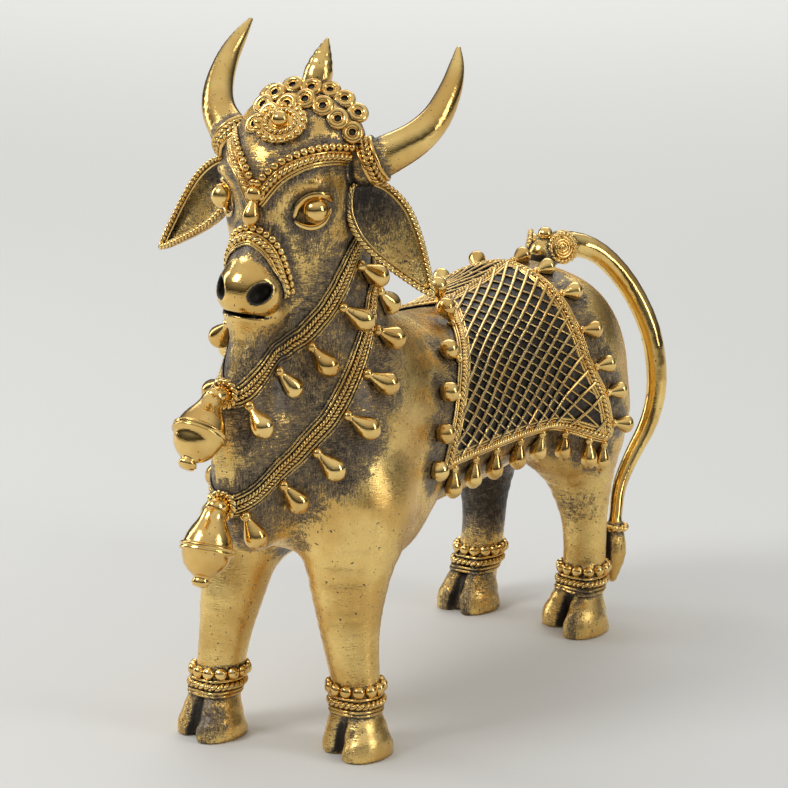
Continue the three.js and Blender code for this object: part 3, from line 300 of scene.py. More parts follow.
def plain_coat():
    """Trunk, neck, legs and face without horns and tail: what the ornaments lie on."""
    face = blend(SKULL)
    head = (lambda p: face(in_head(p)), *HEAD_REACH)
    return blend(STANDING_FORMS + [(head, 2.5)])


figure = sculpture()
coat = plain_coat()


def slope(distance, p, step=0.08):
    """The distance and its slope, from four places round each point."""
    corners = array([1, -1, -1], [-1, -1, 1], [-1, 1, -1], [1, 1, 1])
    values = [distance(p + corner * step) for corner in corners]
    rise = sum(value[:, None] * corner for value, corner in zip(values, corners))
    return sum(values) / 4, rise / (4 * step)


def skin(start, way, form=None):
    """Where rays from inside leave the coat or another form, and the normals there."""
    form = form or coat
    way = np.atleast_2d(way)
    p = np.array(np.broadcast_to(start, way.shape), float)
    for _ in range(40):
        p -= 0.9 * form(p)[:, None] * way
    return p, unit(slope(form, p)[1])


def seated(at, normal):
    """Places moved along their normals until they are on the coat."""
    p = np.array(at, float)
    for _ in range(6):
        p -= coat(p)[:, None] * normal
    return p


# Meshes: points with four- and three-cornered faces, and how deep each point lies in dirt and painted shade

class Shape:
    def __init__(self, points, quads=(), tris=(), depth=None):
        self.points = np.asarray(points, float).reshape(-1, 3)
        self.quads = np.asarray(quads, int).reshape(-1, 4)
        self.tris = np.asarray(tris, int).reshape(-1, 3)
        self.depth = np.zeros(len(self.points)) if depth is None else np.asarray(depth, float)

    def outward(self):
        """The same shape with its faces turned out."""
        triangles = np.vstack([self.tris, self.quads[:, [0, 1, 2]], self.quads[:, [0, 2, 3]]])
        a, b, c = (self.points[triangles[:, n]] for n in range(3))
        if (np.cross(a, b) * c).sum() < 0:
            self.quads = self.quads[:, ::-1]
            self.tris = self.tris[:, ::-1]
        return self


def joined(shapes):
    starts = np.cumsum([0] + [len(s.points) for s in shapes])
    parts = [(s.points, s.quads + n, s.tris + n, s.depth) for s, n in zip(shapes, starts)]
    return Shape(*(np.concatenate(part) for part in zip(*parts)))


def copies(shape, at, x, y, z):
    """A shape repeated in frames of a place and three directions."""
    points = at[:, None] + shape.points @ np.stack([x, y, z], 1)
    starts = np.arange(len(at))[:, None, None] * len(shape.points)
    return Shape(points, shape.quads + starts, shape.tris + starts, np.tile(shape.depth, len(at)))


def lofted(sections, ring=False, depth=0):
    """A closed body over a row of equal sections; ring says that the last meets the first."""
    sections = np.asarray(sections, float)
    count, size = sections.shape[:2]
    first = np.arange(count if ring else count - 1)[:, None] * size
    here, after = np.arange(size), (np.arange(size) + 1) % size
    second = (first + size) % (count * size)
    quads = np.stack([first + here, first + after, second + after, second + here], -1).reshape(-1, 4)
    points = sections.reshape(-1, 3)
    depth = np.broadcast_to(depth, (count, size))
    if ring:
        return Shape(points, quads, (), depth.ravel()).outward()
    ends = np.vstack([sections[0].mean(0), sections[-1].mean(0)])
    low, high = len(points), len(points) + 1
    last = (count - 1) * size
    fans = [np.column_stack([np.full(size, low), after, here]),
            np.column_stack([np.full(size, high), last + here, last + after])]
    values = np.concatenate([depth.ravel(), [depth[0].mean(), depth[-1].mean()]])
    return Shape(np.vstack([points, ends]), quads, np.vstack(fans), values).outward()


def frames(at, normal, ring):
    """Directions along, across and up for points of a path that each have a normal."""
    along = np.roll(at, -1, axis=0) - np.roll(at, 1, axis=0) if ring else np.gradient(at, axis=0)
    along = unit(along)
    side = unit(np.cross(along, normal))
    return along, side, np.cross(side, along)


def across_frame(along):
    """Any two directions square to each row."""
    helper = np.where(np.abs(along[:, 2:3]) < 0.9, UP, array(1, 0, 0))
    x = unit(np.cross(along, helper))
    return x, np.cross(along, x)


def swept(at, normal, outline, ring, depth):
    """A body whose section is an outline of across and up, or one outline a station."""
    _, side, up = frames(at, normal, ring)
    return lofted(at[:, None] + outline @ np.stack([side, up], 1), ring, depth)


def circle(sides):
    turn = 2 * np.pi * np.arange(sides) / sides
    return np.column_stack([np.cos(turn), np.sin(turn)])


def thread(at, normal, radius, ring=False, sides=8):
    """A round wax thread; radius is one number or one a point."""
    path = resample(np.column_stack([at, normal, np.broadcast_to(radius, len(at))]), 0.35, ring)
    outline = circle(sides) * path[:, 6, None, None]
    depth = fade(-0.3, 0.5, circle(sides)[:, 1])
    return swept(path[:, :3], unit(path[:, 3:6]), outline, ring, depth)


ROPE_PITCH = 3.4  # of a rope's strand, as a multiple of the rope's radius
BEAD_HEIGHT = 0.8  # as a share of the bead's width


def rope(at, normal, radius, ring=False, hand=1):
    """Two strands twisted together."""
    pitch, sides = ROPE_PITCH * radius, 12
    at, normal = evenly(at, normal, pitch / 12, ring)
    half_turns = max(1, round(2 * path_length(at) / pitch))
    twist = hand * np.pi * half_turns * np.arange(len(at)) / (len(at) - (not ring))
    turn = 2 * np.pi * np.arange(sides) / sides
    swell = 0.5 + 0.5 * np.sqrt(np.abs(np.cos(turn)))
    angle = turn + twist[:, None]
    outline = radius * swell[:, None] * np.stack([np.cos(angle), np.sin(angle)], -1)
    depth = np.maximum(fade(0.5, 0.8, swell), fade(-0.3, 0.3, np.sin(angle)))
    return swept(at, normal, outline, ring, depth)


counter_rope = partial(rope, hand=-1)


def turned(rows, sides):
    """A round body about Z from rows of height and radius."""
    return lofted([np.column_stack([circle(sides) * max(radius, 1e-3), np.full(sides, height)])
                   for height, radius in rows])


def standing(shape, at, axis):
    """Shapes made about Z, set at places along directions."""
    at, axis = np.atleast_2d(at), unit(np.atleast_2d(axis))
    x, y = across_frame(axis)
    return copies(shape, at, x, y, axis)


def ball(radius, height, rows=12, sides=24):
    turn = np.pi * np.arange(1, rows) / rows
    return turned(np.column_stack([-np.cos(turn) * height, np.sin(turn) * radius]), sides)


def beads(at, normal, radius, ring=False):
    """A row of slightly flattened beads that touch."""
    at, normal = evenly(at, normal, 2 * radius, ring)
    return copies(ball(radius, BEAD_HEIGHT * radius, 7, 12), at, *frames(at, normal, ring))


def strip(at, normal, ring, parts):
    """Threads, ropes and rows of beads laid side by side along a path on the coat."""
    _, side, up = frames(at, normal, ring)
    out = []
    for kind, across, lift, radius in parts:
        path = seated(at + side * across, up) + up * lift
        out.append(kind(path, up, radius, ring))
    return joined(out)


# The fine net over the sculpture

BLOCK = 6  # cells
BLOCK_REACH = 1.566  # in blocks, nearly twice half a block's diagonal because distances are rough
CORNERS = np.argwhere(np.ones((2, 2, 2)))
EDGES = [(a, b) for a in range(8) for b in range(a + 1, 8) if a ^ b in (1, 2, 4)]


def sample(distance, low, high, cell):
    """Distances at the corners of a grid, exact only in the blocks near the surface."""
    blocks = np.ceil((high - low) / cell / BLOCK).astype(int) + 1
    index = np.argwhere(np.ones(blocks, bool))
    typical = distance(low + cell * (index * BLOCK + (BLOCK - 1) / 2))
    near = np.flatnonzero(np.abs(typical) < cell * BLOCK * BLOCK_REACH)
    value = np.repeat(np.sign(typical).astype(np.float32)[:, None], BLOCK ** 3, axis=1)
    step = np.argwhere(np.ones((BLOCK,) * 3, bool))
    for some in np.array_split(near, max(1, len(near) // 1500)):
        places = low + cell * (index[some, None] * BLOCK + step)
        value[some] = distance(places.reshape(-1, 3)).reshape(len(some), -1)
    value = value.reshape(*blocks, BLOCK, BLOCK, BLOCK).transpose(0, 3, 1, 4, 2, 5)
    return value.reshape(blocks * BLOCK)


def net_over(distance, low, high, cell):
    """One point in each cell that the surface passes, joined in four-cornered faces."""
    low, high = np.array(low, float), np.array(high, float)
    value = sample(distance, low, high, cell)
    inside = value < 0
    size = np.array(value.shape) - 1
    filled = sum(inside[i:i + size[0], j:j + size[1], k:k + size[2]].astype(np.uint8)
                 for i, j, k in CORNERS)
    cells = np.argwhere((filled > 0) & (filled < 8))
    number = np.full(size, -1, np.int32)
    number[tuple(cells.T)] = np.arange(len(cells))
    at_corner = [value[tuple((cells + corner).T)].astype(float) for corner in CORNERS]
    total, count = np.zeros((len(cells), 3)), np.zeros(len(cells))
    for a, b in EDGES:
        crossed = (at_corner[a] < 0) != (at_corner[b] < 0)
        share = at_corner[a] / np.where(crossed, at_corner[a] - at_corner[b], 1)
        place = CORNERS[a] + share[:, None] * (CORNERS[b] - CORNERS[a])
        total += place * crossed[:, None]
        count += crossed
    points = low + cell * (cells + total / count[:, None])
    quads = []
    for axis, way in enumerate(np.eye(3, dtype=int)):
        one, two = np.delete(np.eye(3, dtype=int), axis, 0)
        crossing = np.argwhere(inside != np.roll(inside, -1, axis))
        crossing = crossing[((crossing >= 1 - way) & (crossing < size)).all(1)]
        shifts = one + two, two, 0 * one, one
        loop = np.stack([number[tuple((crossing - shift).T)] for shift in shifts], 1)
        backwards = inside[tuple(crossing.T)] == (axis == 1)
        loop[backwards] = loop[backwards][:, ::-1]
        quads.append(loop)
    for _ in range(2):  # settle on the surface
        gap, rise = slope(distance, points)
        move = gap[:, None] * rise / np.maximum((rise * rise).sum(1), 1e-6)[:, None]
        points -= move * np.minimum(1, 0.5 * cell / np.maximum(lengths(move), 1e-9))[:, None]
    points[:, 2] = np.maximum(points[:, 2], low[2] + 1.0001 * cell)
    return Shape(points, np.vstack(quads)).outward()


# The head's net takes over from the body's under the upper collar
PART_AT = array(0, -33.5, 67.5)
PART_NORMAL = unit(array(0, -1.08, 1))
# Direction of the parting, overlap, low and high corner and spacing
NETS = {"head": (-1, 0, (-27, -58, 52), (27, -8, 104), HEAD_CELL),
        "body": (1, 0.8, (-27, -60, -BODY_CELL), (27, 62, 82), BODY_CELL)}


def parted_net(sign, overlap, low, high, cell):
    """The net over the figure on one side of the parting."""
    def distance(p):
        return np.maximum(figure(p), sign * ((p - PART_AT) @ PART_NORMAL) - overlap)
    return net_over(distance, low, high, cell)


# Ornaments

COLLAR_WIDTH = 3.3
# A point on the neck's axis, the slope of the plane, how far the collar is above it at degrees
# from the front, and the ends of the bell
COLLARS = [
    ((0, -33.5, 67.5), 1.08, [[0, 2.5], [8, 1.6], [16, -0.9], [30, -1.4], [50, -0.5], [75, 1], [95, 2]],
     ((-0.5, -52.8, 52.6), (-0.5, -60.2, 43.6))),
    ((0, -30, 60.5), 1.19, [[0, 1.6], [5, 1.3], [10, 0], [17, -1.2], [32, -1.7], [49, -1], [75, 0.2],
                            [97, 1.8]],
     ((-0.3, -53.2, 37.4), (-0.3, -56.8, 27.9))),
]
COLLAR_STRIP = [(thread, -1.5, 0.15, 0.17), (thread, -1.05, 0.22, 0.17), (rope, -0.38, 0.28, 0.33),
                (counter_rope, 0.32, 0.28, 0.33), (thread, 0.95, 0.22, 0.17), (thread, 1.4, 0.15, 0.17)]
DROP_LENGTH = 5.3
DROP_RADIUS = 1.65
DROP_PITCH = 6.17
FIRST_DROP = 0.33  # how far the first drop is from the front, as a share of the pitch
DROP_ROWS = [[-0.9, 0.1], [-0.7, 0.3], [-0.3, 0.42], [0.3, 0.47], [0.9, 0.42], [1.2, 0.34],
             [1.7, 0.36], [2.4, 0.48], [3.4, 0.64], [4.6, 0.83], [5.8, 0.97], [6.8, 1], [7.8, 0.93],
             [8.8, 0.7], [9.6, 0.38], [9.95, 0.08]]


def drops(at, normal, away, length, radius, rise=0.16):
    """Pear-shaped drops with a little ball at the root; rise is how steeply they leave the coat."""
    shape = turned([[h * length / 10, r * radius] for h, r in spline(DROP_ROWS, 2)], 20)
    lean = unit(away + rise * normal)
    root = seated(at, normal) + 0.25 * radius * normal
    return standing(shape, root, lean)


def places_at(at, normal, ring, shares):
    """The places at shares of a path's length."""
    at, normal = evenly(at, normal, 0.1, ring)
    pick = (np.asarray(shares) * (len(at) - (not ring))).astype(int)
    _, side, up = frames(at, normal, ring)
    return at[pick], side[pick], up[pick]


def collar_path(middle, tilt, rise):
    turn = 2 * np.pi * np.arange(240) / 240
    down = unit(array(0, -1, -tilt))
    ways = np.sin(turn)[:, None] * array(1, 0, 0) + np.cos(turn)[:, None] * down
    lift = np.interp(np.degrees(np.minimum(turn, 2 * np.pi - turn)), *zip(*rise))
    at, normal = skin(array(*middle) + lift[:, None] * UP, ways)
    return evenly(at, normal, 0.4, True)


def collars():
    bands, hung = [], []
    for middle, tilt, rise, _ in COLLARS:
        at, normal = collar_path(middle, tilt, rise)
        _, side, _ = frames(at, normal, True)
        sign = -1 if side[:, 2].mean() > 0 else 1
        parts = [(kind, sign * offset, *rest) for kind, offset, *rest in COLLAR_STRIP]
        bands.append(strip(at, normal, True, parts))
        count = round(path_length(at) / DROP_PITCH)
        places, across, up = places_at(at, normal, True, (np.arange(count) + FIRST_DROP) / count)
        lower = np.where(across[:, 2:3] < 0, across, -across)
        hung.append(drops(places + lower * COLLAR_WIDTH / 2, up, lower, DROP_LENGTH, DROP_RADIUS))
    return {"collars": joined(bands), "collar_drops": joined(hung)}


BELL_LENGTH = 10.87
BELL_RADIUS = 3.43
BELL_ROWS = [[-0.04, 0.02], [-0.02, 0.3], [0.03, 0.46], [0.1, 0.5], [0.18, 0.62], [0.27, 0.79],
             [0.36, 0.92], [0.44, 0.99], [0.455, 1], [0.465, 1.09], [0.485, 1.12], [0.505, 1.06],
             [0.515, 1.06], [0.535, 1.12], [0.555, 1.09], [0.565, 1], [0.65, 0.93], [0.74, 0.8],
             [0.81, 0.6], [0.85, 0.42], [0.87, 0.3], [0.9, 0.34], [0.94, 0.38], [0.98, 0.3],
             [1, 0.05]]
STEM_ROWS = [[0, 1.2], [0.3, 1.25], [0.6, 1.3], [1, 1.2]]  # shares of its length and radii
STEM_IN_CHEST = 0.6
STEM_IN_BELL = 0.7
STEM_TIP = (0.3, 0.6)  # length and end radius
STEM_RING = (0.45, 1.75, 0.5)  # how far out of the chest, radius and wire


def bells():
    out = []
    shape = turned([[t * BELL_LENGTH, r * BELL_RADIUS] for t, r in BELL_ROWS], 48)
    for *_, ends in COLLARS:
        top, foot = (array(*p) for p in ends)
        out.append(standing(shape, top, foot - top))
        (chest,), _ = skin(array(top[0], -40, top[2]), FORWARD)
        reach = chest[1] - top[1] + STEM_IN_CHEST + STEM_IN_BELL
        rows = [[reach * share, radius] for share, radius in STEM_ROWS]
        rows.append([reach + STEM_TIP[0], STEM_TIP[1]])
        out.append(standing(turned(rows, 24), chest - STEM_IN_CHEST * FORWARD, FORWARD))
        out.append(wire_ring(chest + STEM_RING[0] * FORWARD, FORWARD, *STEM_RING[1:], rope))
    return {"bells": joined(out)}


# The saddle cloth on one side, as rows of place along the back and degrees from straight up
CLOTH_EDGES = {
    "front": [[9.2, 0], [6, 14], [2, 28], [-3.2, 47], [-9.7, 70], [-13.4, 90], [-15.6, 111]],
    "bottom": [[-15.6, 111], [-8, 111], [0, 112], [9, 113.5], [16, 116], [22.4, 119], [29.8, 121]],
    "rear": [[29.8, 121], [28.4, 103], [26.4, 91], [25.2, 79], [25, 63], [25.4, 49], [26.4, 30], [28, 0]],
    "top": [[28, 0], [18, 0], [9.2, 0]],
}
BARREL_HEIGHT = 43
CLOTH_RAISE = 0.3
# Shares of each edge at which a drop hangs, with the drops' length and radius
FRINGE = {
    "front": ([0, 0.3, 0.56, 0.735, 0.867, 1], 4.4, 1.5),
    "bottom": ([0.06, 0.2, 0.345, 0.515, 0.69, 0.83, 0.925, 0.995], 4.8, 1.35),
    "rear": ([0.066, 0.2, 0.34, 0.52, 0.7, 0.86, 0.985], 3.7, 1.38),
}
SHARED = {"front": 0, "rear": 0.985}  # these drops serve both sides
FRONT_RISE = ([0, 0.3, 0.5], [2.5, 0.9, 0.16])  # the highest ones in front stand up from the coat
SAG = 0.35  # how far the drops at the front and rear lean down
BORDER_WIDTH = 2.43
BORDER_STRIP = [(thread, -1.1, 0.32, 0.24), (thread, -0.64, 0.38, 0.18), (rope, 0, 0.42, 0.48),
                (thread, 0.64, 0.3, 0.18), (thread, 1.04, 0.2, 0.2)]


def on_barrel(side, rows):
    rows = np.asarray(rows, float)
    turn = np.radians(rows[:, 1])
    ways = np.column_stack([side * np.sin(turn), 0 * turn, np.cos(turn)])
    start = np.column_stack([0 * turn, rows[:, 0], np.full(len(rows), BARREL_HEIGHT)])
    return skin(start, ways)


def cloth_places(columns, rows):
    """A grid of places over the cloth that follows its four edges."""
    def along(name, t):
        line = spline(CLOTH_EDGES[name], 12)
        return np.column_stack([np.interp(t * (len(line) - 1), np.arange(len(line)), column)
                                for column in line.T])
    s, t = np.arange(columns + 1) / columns, np.arange(rows + 1) / rows
    front, rear = along("front", t)[None], along("rear", 1 - t)[None]
    bottom, top = along("bottom", s)[:, None], along("top", 1 - s)[:, None]
    s, t = s[:, None, None], t[None, :, None]
    across = front * (1 - s) + rear * s
    return across + (top - across[:, :1]) * (1 - t) + (bottom - across[:, -1:]) * t


def cloth_sheet(side, columns=90, rows=60):
    at, normal = on_barrel(side, cloth_places(columns, rows).reshape(-1, 2))
    upper, lower = at + normal * CLOTH_RAISE, at - normal * 0.5
    size = len(at)
    grid = np.arange(size).reshape(columns + 1, rows + 1)
    quads = np.stack([grid[:-1, :-1], grid[:-1, 1:], grid[1:, 1:], grid[1:, :-1]], -1).reshape(-1, 4)
    rim = np.concatenate([grid[:, 0], grid[-1, 1:], grid[-2::-1, -1], grid[0, -2:0:-1]])
    after = np.roll(rim, -1)
    wall = np.column_stack([rim, after, after + size, rim + size])
    return Shape(np.vstack([upper, lower]), np.vstack([quads, quads[:, ::-1] + size, wall]),
                 (), np.ones(2 * size)).outward()


def inside_outline(p, outline):
    """Whether places in a plane lie within a closed outline."""
    (ax, ay), (bx, by) = outline.T, np.roll(outline, -1, axis=0).T
    x, y = p[:, :1], p[:, 1:]
    crosses = (ay > y) != (by > y)
    rise = np.where(by == ay, 1, by - ay)
    return (crosses & (x < (bx - ax) * (y - ay) / rise + ax)).sum(1) % 2 == 1


# The two sets of threads on the cloth: pitch, radius and lift, then how they lean, as degrees
# from straight up and places along the back
CLOTH_THREADS = [
    (4.2, 0.29, 0.22, [0, 60, 80, 100, 112, 125], [36, 0, -11, -19, -22.5, -26]),
    (3, 0.18, 0.12, [0, 25, 45, 65, 80, 125], [0, 1.2, 3.9, 9.5, 15.5, 35.3]),
]


def lattice(side, pitch, radius, lift, *lean):
    """Threads side by side across the cloth, cut off at its edges."""
    outline = np.vstack([spline(rows, 8)[:-1] for rows in CLOTH_EDGES.values()])
    angle = np.arange(0, 125, 1.0)
    out = []
    for row in np.arange(-70, 80, pitch):
        line = np.column_stack([row + np.interp(angle, *lean), angle])
        within = inside_outline(line, outline)
        for run in np.split(np.arange(len(line)), np.flatnonzero(np.diff(within.astype(int))) + 1):
            if within[run[0]] and len(run) > 3:
                at, normal = on_barrel(side, line[run])
                out.append(thread(at + normal * (CLOTH_RAISE + lift), normal, radius, sides=6))
    return joined(out)


def saddle():
    sheets, threads, borders, hung = [], [], [], []
    for side in SIDES:
        owns_seam = side > 0
        sheets.append(cloth_sheet(side))
        threads += [lattice(side, *row) for row in CLOTH_THREADS]
        edges = [edge for name, edge in CLOTH_EDGES.items() if owns_seam or name != "top"]
        rows = np.vstack([spline(edge, 12)[:-1] for edge in edges])
        at, normal = evenly(*on_barrel(side, rows), 0.4, owns_seam)
        borders.append(strip(at, normal, owns_seam, BORDER_STRIP))
        for name, (shares, length, radius) in FRINGE.items():
            at, normal = on_barrel(side, spline(CLOTH_EDGES[name], 8))
            shares = [share for share in shares if owns_seam or share != SHARED.get(name)]
            places, across, up = places_at(at, normal, False, shares)
            hanging = up * up[:, 2:3] - UP
            away = unit(hanging if name == "bottom" else across * side + SAG * hanging)
            at_seam = np.abs(places[:, :1]) < 0.1
            away = unit(np.where(at_seam, away * [0, 1, 1], away))
            rise = np.interp(shares, *FRONT_RISE)[:, None] if name == "front" else 0.16
            hung.append(drops(places + away * BORDER_WIDTH / 2, up, away, length, radius, rise))
    return {"saddle_cloth": joined(sheets), "saddle_threads": joined(threads),
            "saddle_border": joined(borders), "saddle_drops": joined(hung)}


BRACELET_LOW = 5.2
BRACELET_STRIP = [(thread, 0.85, 0.15, 0.22), (thread, 1.3, 0.2, 0.22), (rope, 2.15, 0.35, 0.52),
                  (thread, 2.9, 0.2, 0.24), (beads, 3.95, 0.4, 0.92)]


def bracelets():
    out = []
    ways = np.column_stack([circle(48), np.zeros(48)])
    for rows in LEGS:
        path = spline(rows, 8)[::-1]
        for kind, up_leg, lift, radius in BRACELET_STRIP:
            height = BRACELET_LOW + up_leg
            middle = array(*[np.interp(height, path[:, 2], path[:, n]) for n in range(2)], height)
            out_by = lengths(skin(middle, ways, figure)[0] - middle)
            even = sum(np.roll(out_by, n) for n in range(-4, 5)) / 9
            out_by = np.maximum(out_by, even) + lift
            out.append(kind(middle + ways * out_by[:, None], ways, radius, True))
    return {"bracelets": joined(out)}


CURL_WIRES = [(1.12, 0.46, 0), (0.62, 0.13, 0.12)]  # radius of the ring and the wire, and lift
CURL_EDGE = 1.03  # how far from the middle a ring touches the crown
# A dark dome in each ring's hole, as painted shade: rows of height and radius
CURL_SHADE_DOME = [[-0.5, 0.9], [-0.2, 1.1], [0, 0.1]]
CURL_DIRT = 0.35
CURLS = [
    [-5.5, 0.5, 5.2], [-3.5, 2, 6.4], [-3.9, -6, 5.7], [-3.1, -3.9, 7.1], [-1.7, -1.5, 8.1], [1.3, -1.4, 8.2],
    [3.3, 0.6, 7.9], [5.7, 0.4, 6.8], [7.7, 0.2, 5], [-3.2, -9.3, 3.2], [-1.9, -7.7, 4.9],
    [0, -6.2, 6.3], [2.1, -4.7, 7.1], [4.8, -4.3, 6.4], [7.1, -4.1, 4.8], [8.9, -3.1, 3],
]


def wire_ring(at, axis, radius, wire, kind=thread, wrapped=False):
    """A closed ring of wire about an axis, lying on a face or wrapped round a limb."""
    outer = circle(40) @ np.vstack(across_frame(unit(axis)[None]))
    normal = outer if wrapped else np.tile(unit(axis), (40, 1))
    return kind(at + radius * outer, normal, wire, True)


def curls():
    centre = on_head([0, -1, 0])
    out = []
    for spot in CURLS:
        (at,), (normal,) = skin(centre, unit(on_head(spot) - centre))
        facing = unit(headways(0, -1, 0.3) + normal)
        middle = at + normal * CURL_EDGE * lengths(np.cross(facing, normal))
        for radius, wire, lift in CURL_WIRES:
            ring = wire_ring(middle + facing * lift, facing, radius, wire)
            ring.depth *= CURL_DIRT
            out.append(ring)
        shade_dome = turned(CURL_SHADE_DOME, 24)
        # The dome is made fully dark: painted shade in the ring's hole.
        shade_dome.depth += 1
        out.append(standing(shade_dome, middle, facing))
    return {"crown_rings": joined(out)}


EAR_DISH = 0.45
EAR_THICKNESS = 0.45
EAR_ROOT = (9.6, -2.2, -4.2)
EAR_TIP = (21.6, -0.7, -18.2)
EAR_FACING = (0.55, -1, 0.15)
EAR_RIM = [(rope, 0.25, 0.12, 0.42), (thread, 0.85, -0.1, 0.2)]
EAR_SHAPE = [[-0.3, 0.4], [0.1, 1.6], [1.2, 2.7], [3, 3.7], [5.6, 4.2], [8, 4], [11, 3.2], [14, 2.1],
             [16.5, 1.1], [18, 0.3]]


def ears():
    leaves, rims = [], []
    for side in SIDES:
        root, tip = (on_head([side * x, y, z]) for x, y, z in (EAR_ROOT, EAR_TIP))
        along = unit(tip - root)
        facing = headways(EAR_FACING[0] * side, *EAR_FACING[1:])
        normal = unit(facing - along * (facing @ along))
        across = np.cross(normal, along)
        rows = spline(EAR_SHAPE, 8)
        share = circle(40)
        front = share[:, 1] > 0
        hollow = EAR_DISH * np.abs(share[:, 1]) ** 0.7
        sections, depth = [], []
        for far, half in rows:
            x = share[:, 0] * half
            surface = -half * hollow - np.where(front, 0, EAR_THICKNESS)
            sections.append(root + along * far + x[:, None] * across + surface[:, None] * normal)
            # Darker towards the root of the dish: painted shade of the deep hollow.
            shade_at_root = fade(0.05, 0.55, far / rows[-1, 0])
            depth.append(np.where(front, 0.32 + 0.5 * shade_at_root * np.abs(share[:, 1]) ** 0.5, 0.3))
        leaves.append(lofted(sections, depth=np.array(depth)))
        for kind, inset, lift, radius in EAR_RIM:
            line = rows - [0, inset]
            line = line[np.argmax(line[:, 1] > 0.1):]
            line = line[line[:, 1] > 0]
            other = line * [1, -1]
            # The rope starts and ends at the root, the thread at the tip
            line = np.vstack([other, line[::-1]] if kind is rope else [other[::-1], line])
            path = root + line @ [along, across] + lift * normal
            rims.append(kind(path, np.tile(normal, (len(path), 1)), radius))
    return {"ear_leaves": joined(leaves), "ear_rims": joined(rims)}


EYE = (7.1, -9.3, -7.1)
EYE_RADIUS = 1.75
EYE_FACING = (0.85, -1, 0.05)
# Lids as rows of how far level and above from the middle of the eye, and radius
LIDS = [
    [[-3, -1.4, 0.25], [-2.2, 0.9, 0.6], [-0.4, 2.2, 0.75], [1.4, 2, 0.6], [2.6, 1, 0.3]],
    [[-3, -1.5, 0.2], [-1.6, -2.2, 0.42], [0, -2.4, 0.5], [1.6, -1.5, 0.42], [2.5, 0.4, 0.2]],
]


def eyes():
    out = []
    for side in SIDES:
        centre = on_head([side * EYE[0], *EYE[1:]])
        facing = headways(side * EYE_FACING[0], *EYE_FACING[1:])
        level = unit(np.cross(headways(0, 0, 1), facing)) * side
        above = np.cross(facing, level) * side
        out.append(standing(ball(EYE_RADIUS, EYE_RADIUS, 16, 28), centre, facing))

        def face_and_ball(p, centre=centre):
            return np.minimum(figure(p), lengths(p - centre) - EYE_RADIUS)
        for lid in LIDS:
            rows = spline(lid, 8)
            start = centre - facing + rows[:, :1] * level + rows[:, 1:2] * above
            at, normal = skin(start, np.tile(facing, (len(rows), 1)), face_and_ball)
            at = np.array([at[max(n - 2, 0):n + 3].mean(0) for n in range(len(at))])
            out.append(thread(at + 0.12 * facing, unit(normal + facing), rows[:, 2], sides=14))
    return {"eyes": joined(out)}


BROW_ROWS = [[0, -12.9, -6.2], [2.6, -12.6, -2.6], [5.4, -11, -0.4], [8, -7.4, 0.6], [9.4, -3.4, 0.2]]
BROW_STRIP = [(beads, -1.15, 0.3, 0.56), (thread, -0.42, 0.2, 0.17), (rope, 0.15, 0.3, 0.48),
              (thread, 0.8, 0.2, 0.18), (thread, 1.2, 0.15, 0.18)]
NOSE_STRIP = [(beads, -1.2, 0.25, 0.52), (thread, -0.5, 0.2, 0.17), (rope, 0.1, 0.3, 0.48),
              (thread, 0.72, 0.2, 0.17), (thread, 1.08, 0.15, 0.17)]
NOSE_MIDDLE = (0, -12.5, -15.5)
NOSE_HALF_TURN = 128  # degrees each way from the top; the ends are in the throat


def face_bands():
    out = []
    centre = on_head([0, -3, -5])
    for side in SIDES:
        rows = spline(np.array(BROW_ROWS, float) * [side, 1, 1], 12)
        at, normal = evenly(*skin(centre, unit(on_head(rows) - centre)), 0.3)
        parts = [(kind, side * across, *rest) for kind, across, *rest in BROW_STRIP]
        out.append(strip(at, normal, False, parts))
    axis, across = headways(0, -0.94, -0.33), headways(1, 0, 0)
    up = np.cross(axis, across)
    turn = np.radians(np.linspace(-NOSE_HALF_TURN, NOSE_HALF_TURN, 100))[:, None]
    at, normal = evenly(*skin(on_head(NOSE_MIDDLE), np.sin(turn) * across + np.cos(turn) * up), 0.3)
    return {"face_bands": joined([*out, strip(at, normal, False, NOSE_STRIP)])}


ROSETTE_WAY = (0.08, -0.893, 0.434)
ROSETTE_DISC = [[-0.6, 3.3], [0.1, 3.5], [0.35, 3.3], [0.5, 2.6], [0.55, 1.5], [0.6, 0.1]]
ROSETTE_RINGS = [(0.6, 2.05, 0.42, rope), (0.3, 3.2, 0.6, beads)]  # lift, radius, wire and kind


def rosette():
    (at,), (normal,) = skin(on_head([0, -1, 0]), headways(*ROSETTE_WAY))
    out = [standing(turned(ROSETTE_DISC, 48), at, normal),
           standing(ball(1.2, 1.15), at + normal * 0.95, normal)]
    out += [wire_ring(at + normal * lift, normal, *rest) for lift, *rest in ROSETTE_RINGS]
    return {"rosette": joined(out)}


PENDANT_LENGTH = 4.57
PENDANT_RADIUS = 1.17


def pendant():
    centre = on_head([0, -3, -5])
    top, top_normal = skin(centre, headways(0, -1, -0.02))
    foot, _ = skin(on_head([0, -5, -9]), headways(0, -1, -0.1))
    way = unit(foot - top)
    boss = standing(ball(1.1, 0.9), top + 0.5 * top_normal, top_normal)
    hung = drops(top, top_normal, way, PENDANT_LENGTH, PENDANT_RADIUS)
    return {"pendant": joined([boss, hung])}


HORN_RING_GAP = 0.12  # between the horn and the middle of the wire
# How far from the root, wire and kind
HORN_RINGS = [(0.2, 0.3, thread), (0.85, 0.45, rope), (1.6, 0.45, counter_rope), (2.25, 0.3, thread)]


def horn_rings():
    out = []
    for rows in HORNS:
        a, b = on_head(rows[0][:3]), on_head(rows[1][:3])
        axis = unit(b - a)
        for far, wire, kind in HORN_RINGS:
            radius = rows[0][3] + HORN_RING_GAP
            out.append(wire_ring(a + axis * far, axis, radius, wire, kind, True))
    return {"horn_rings": joined(out)}


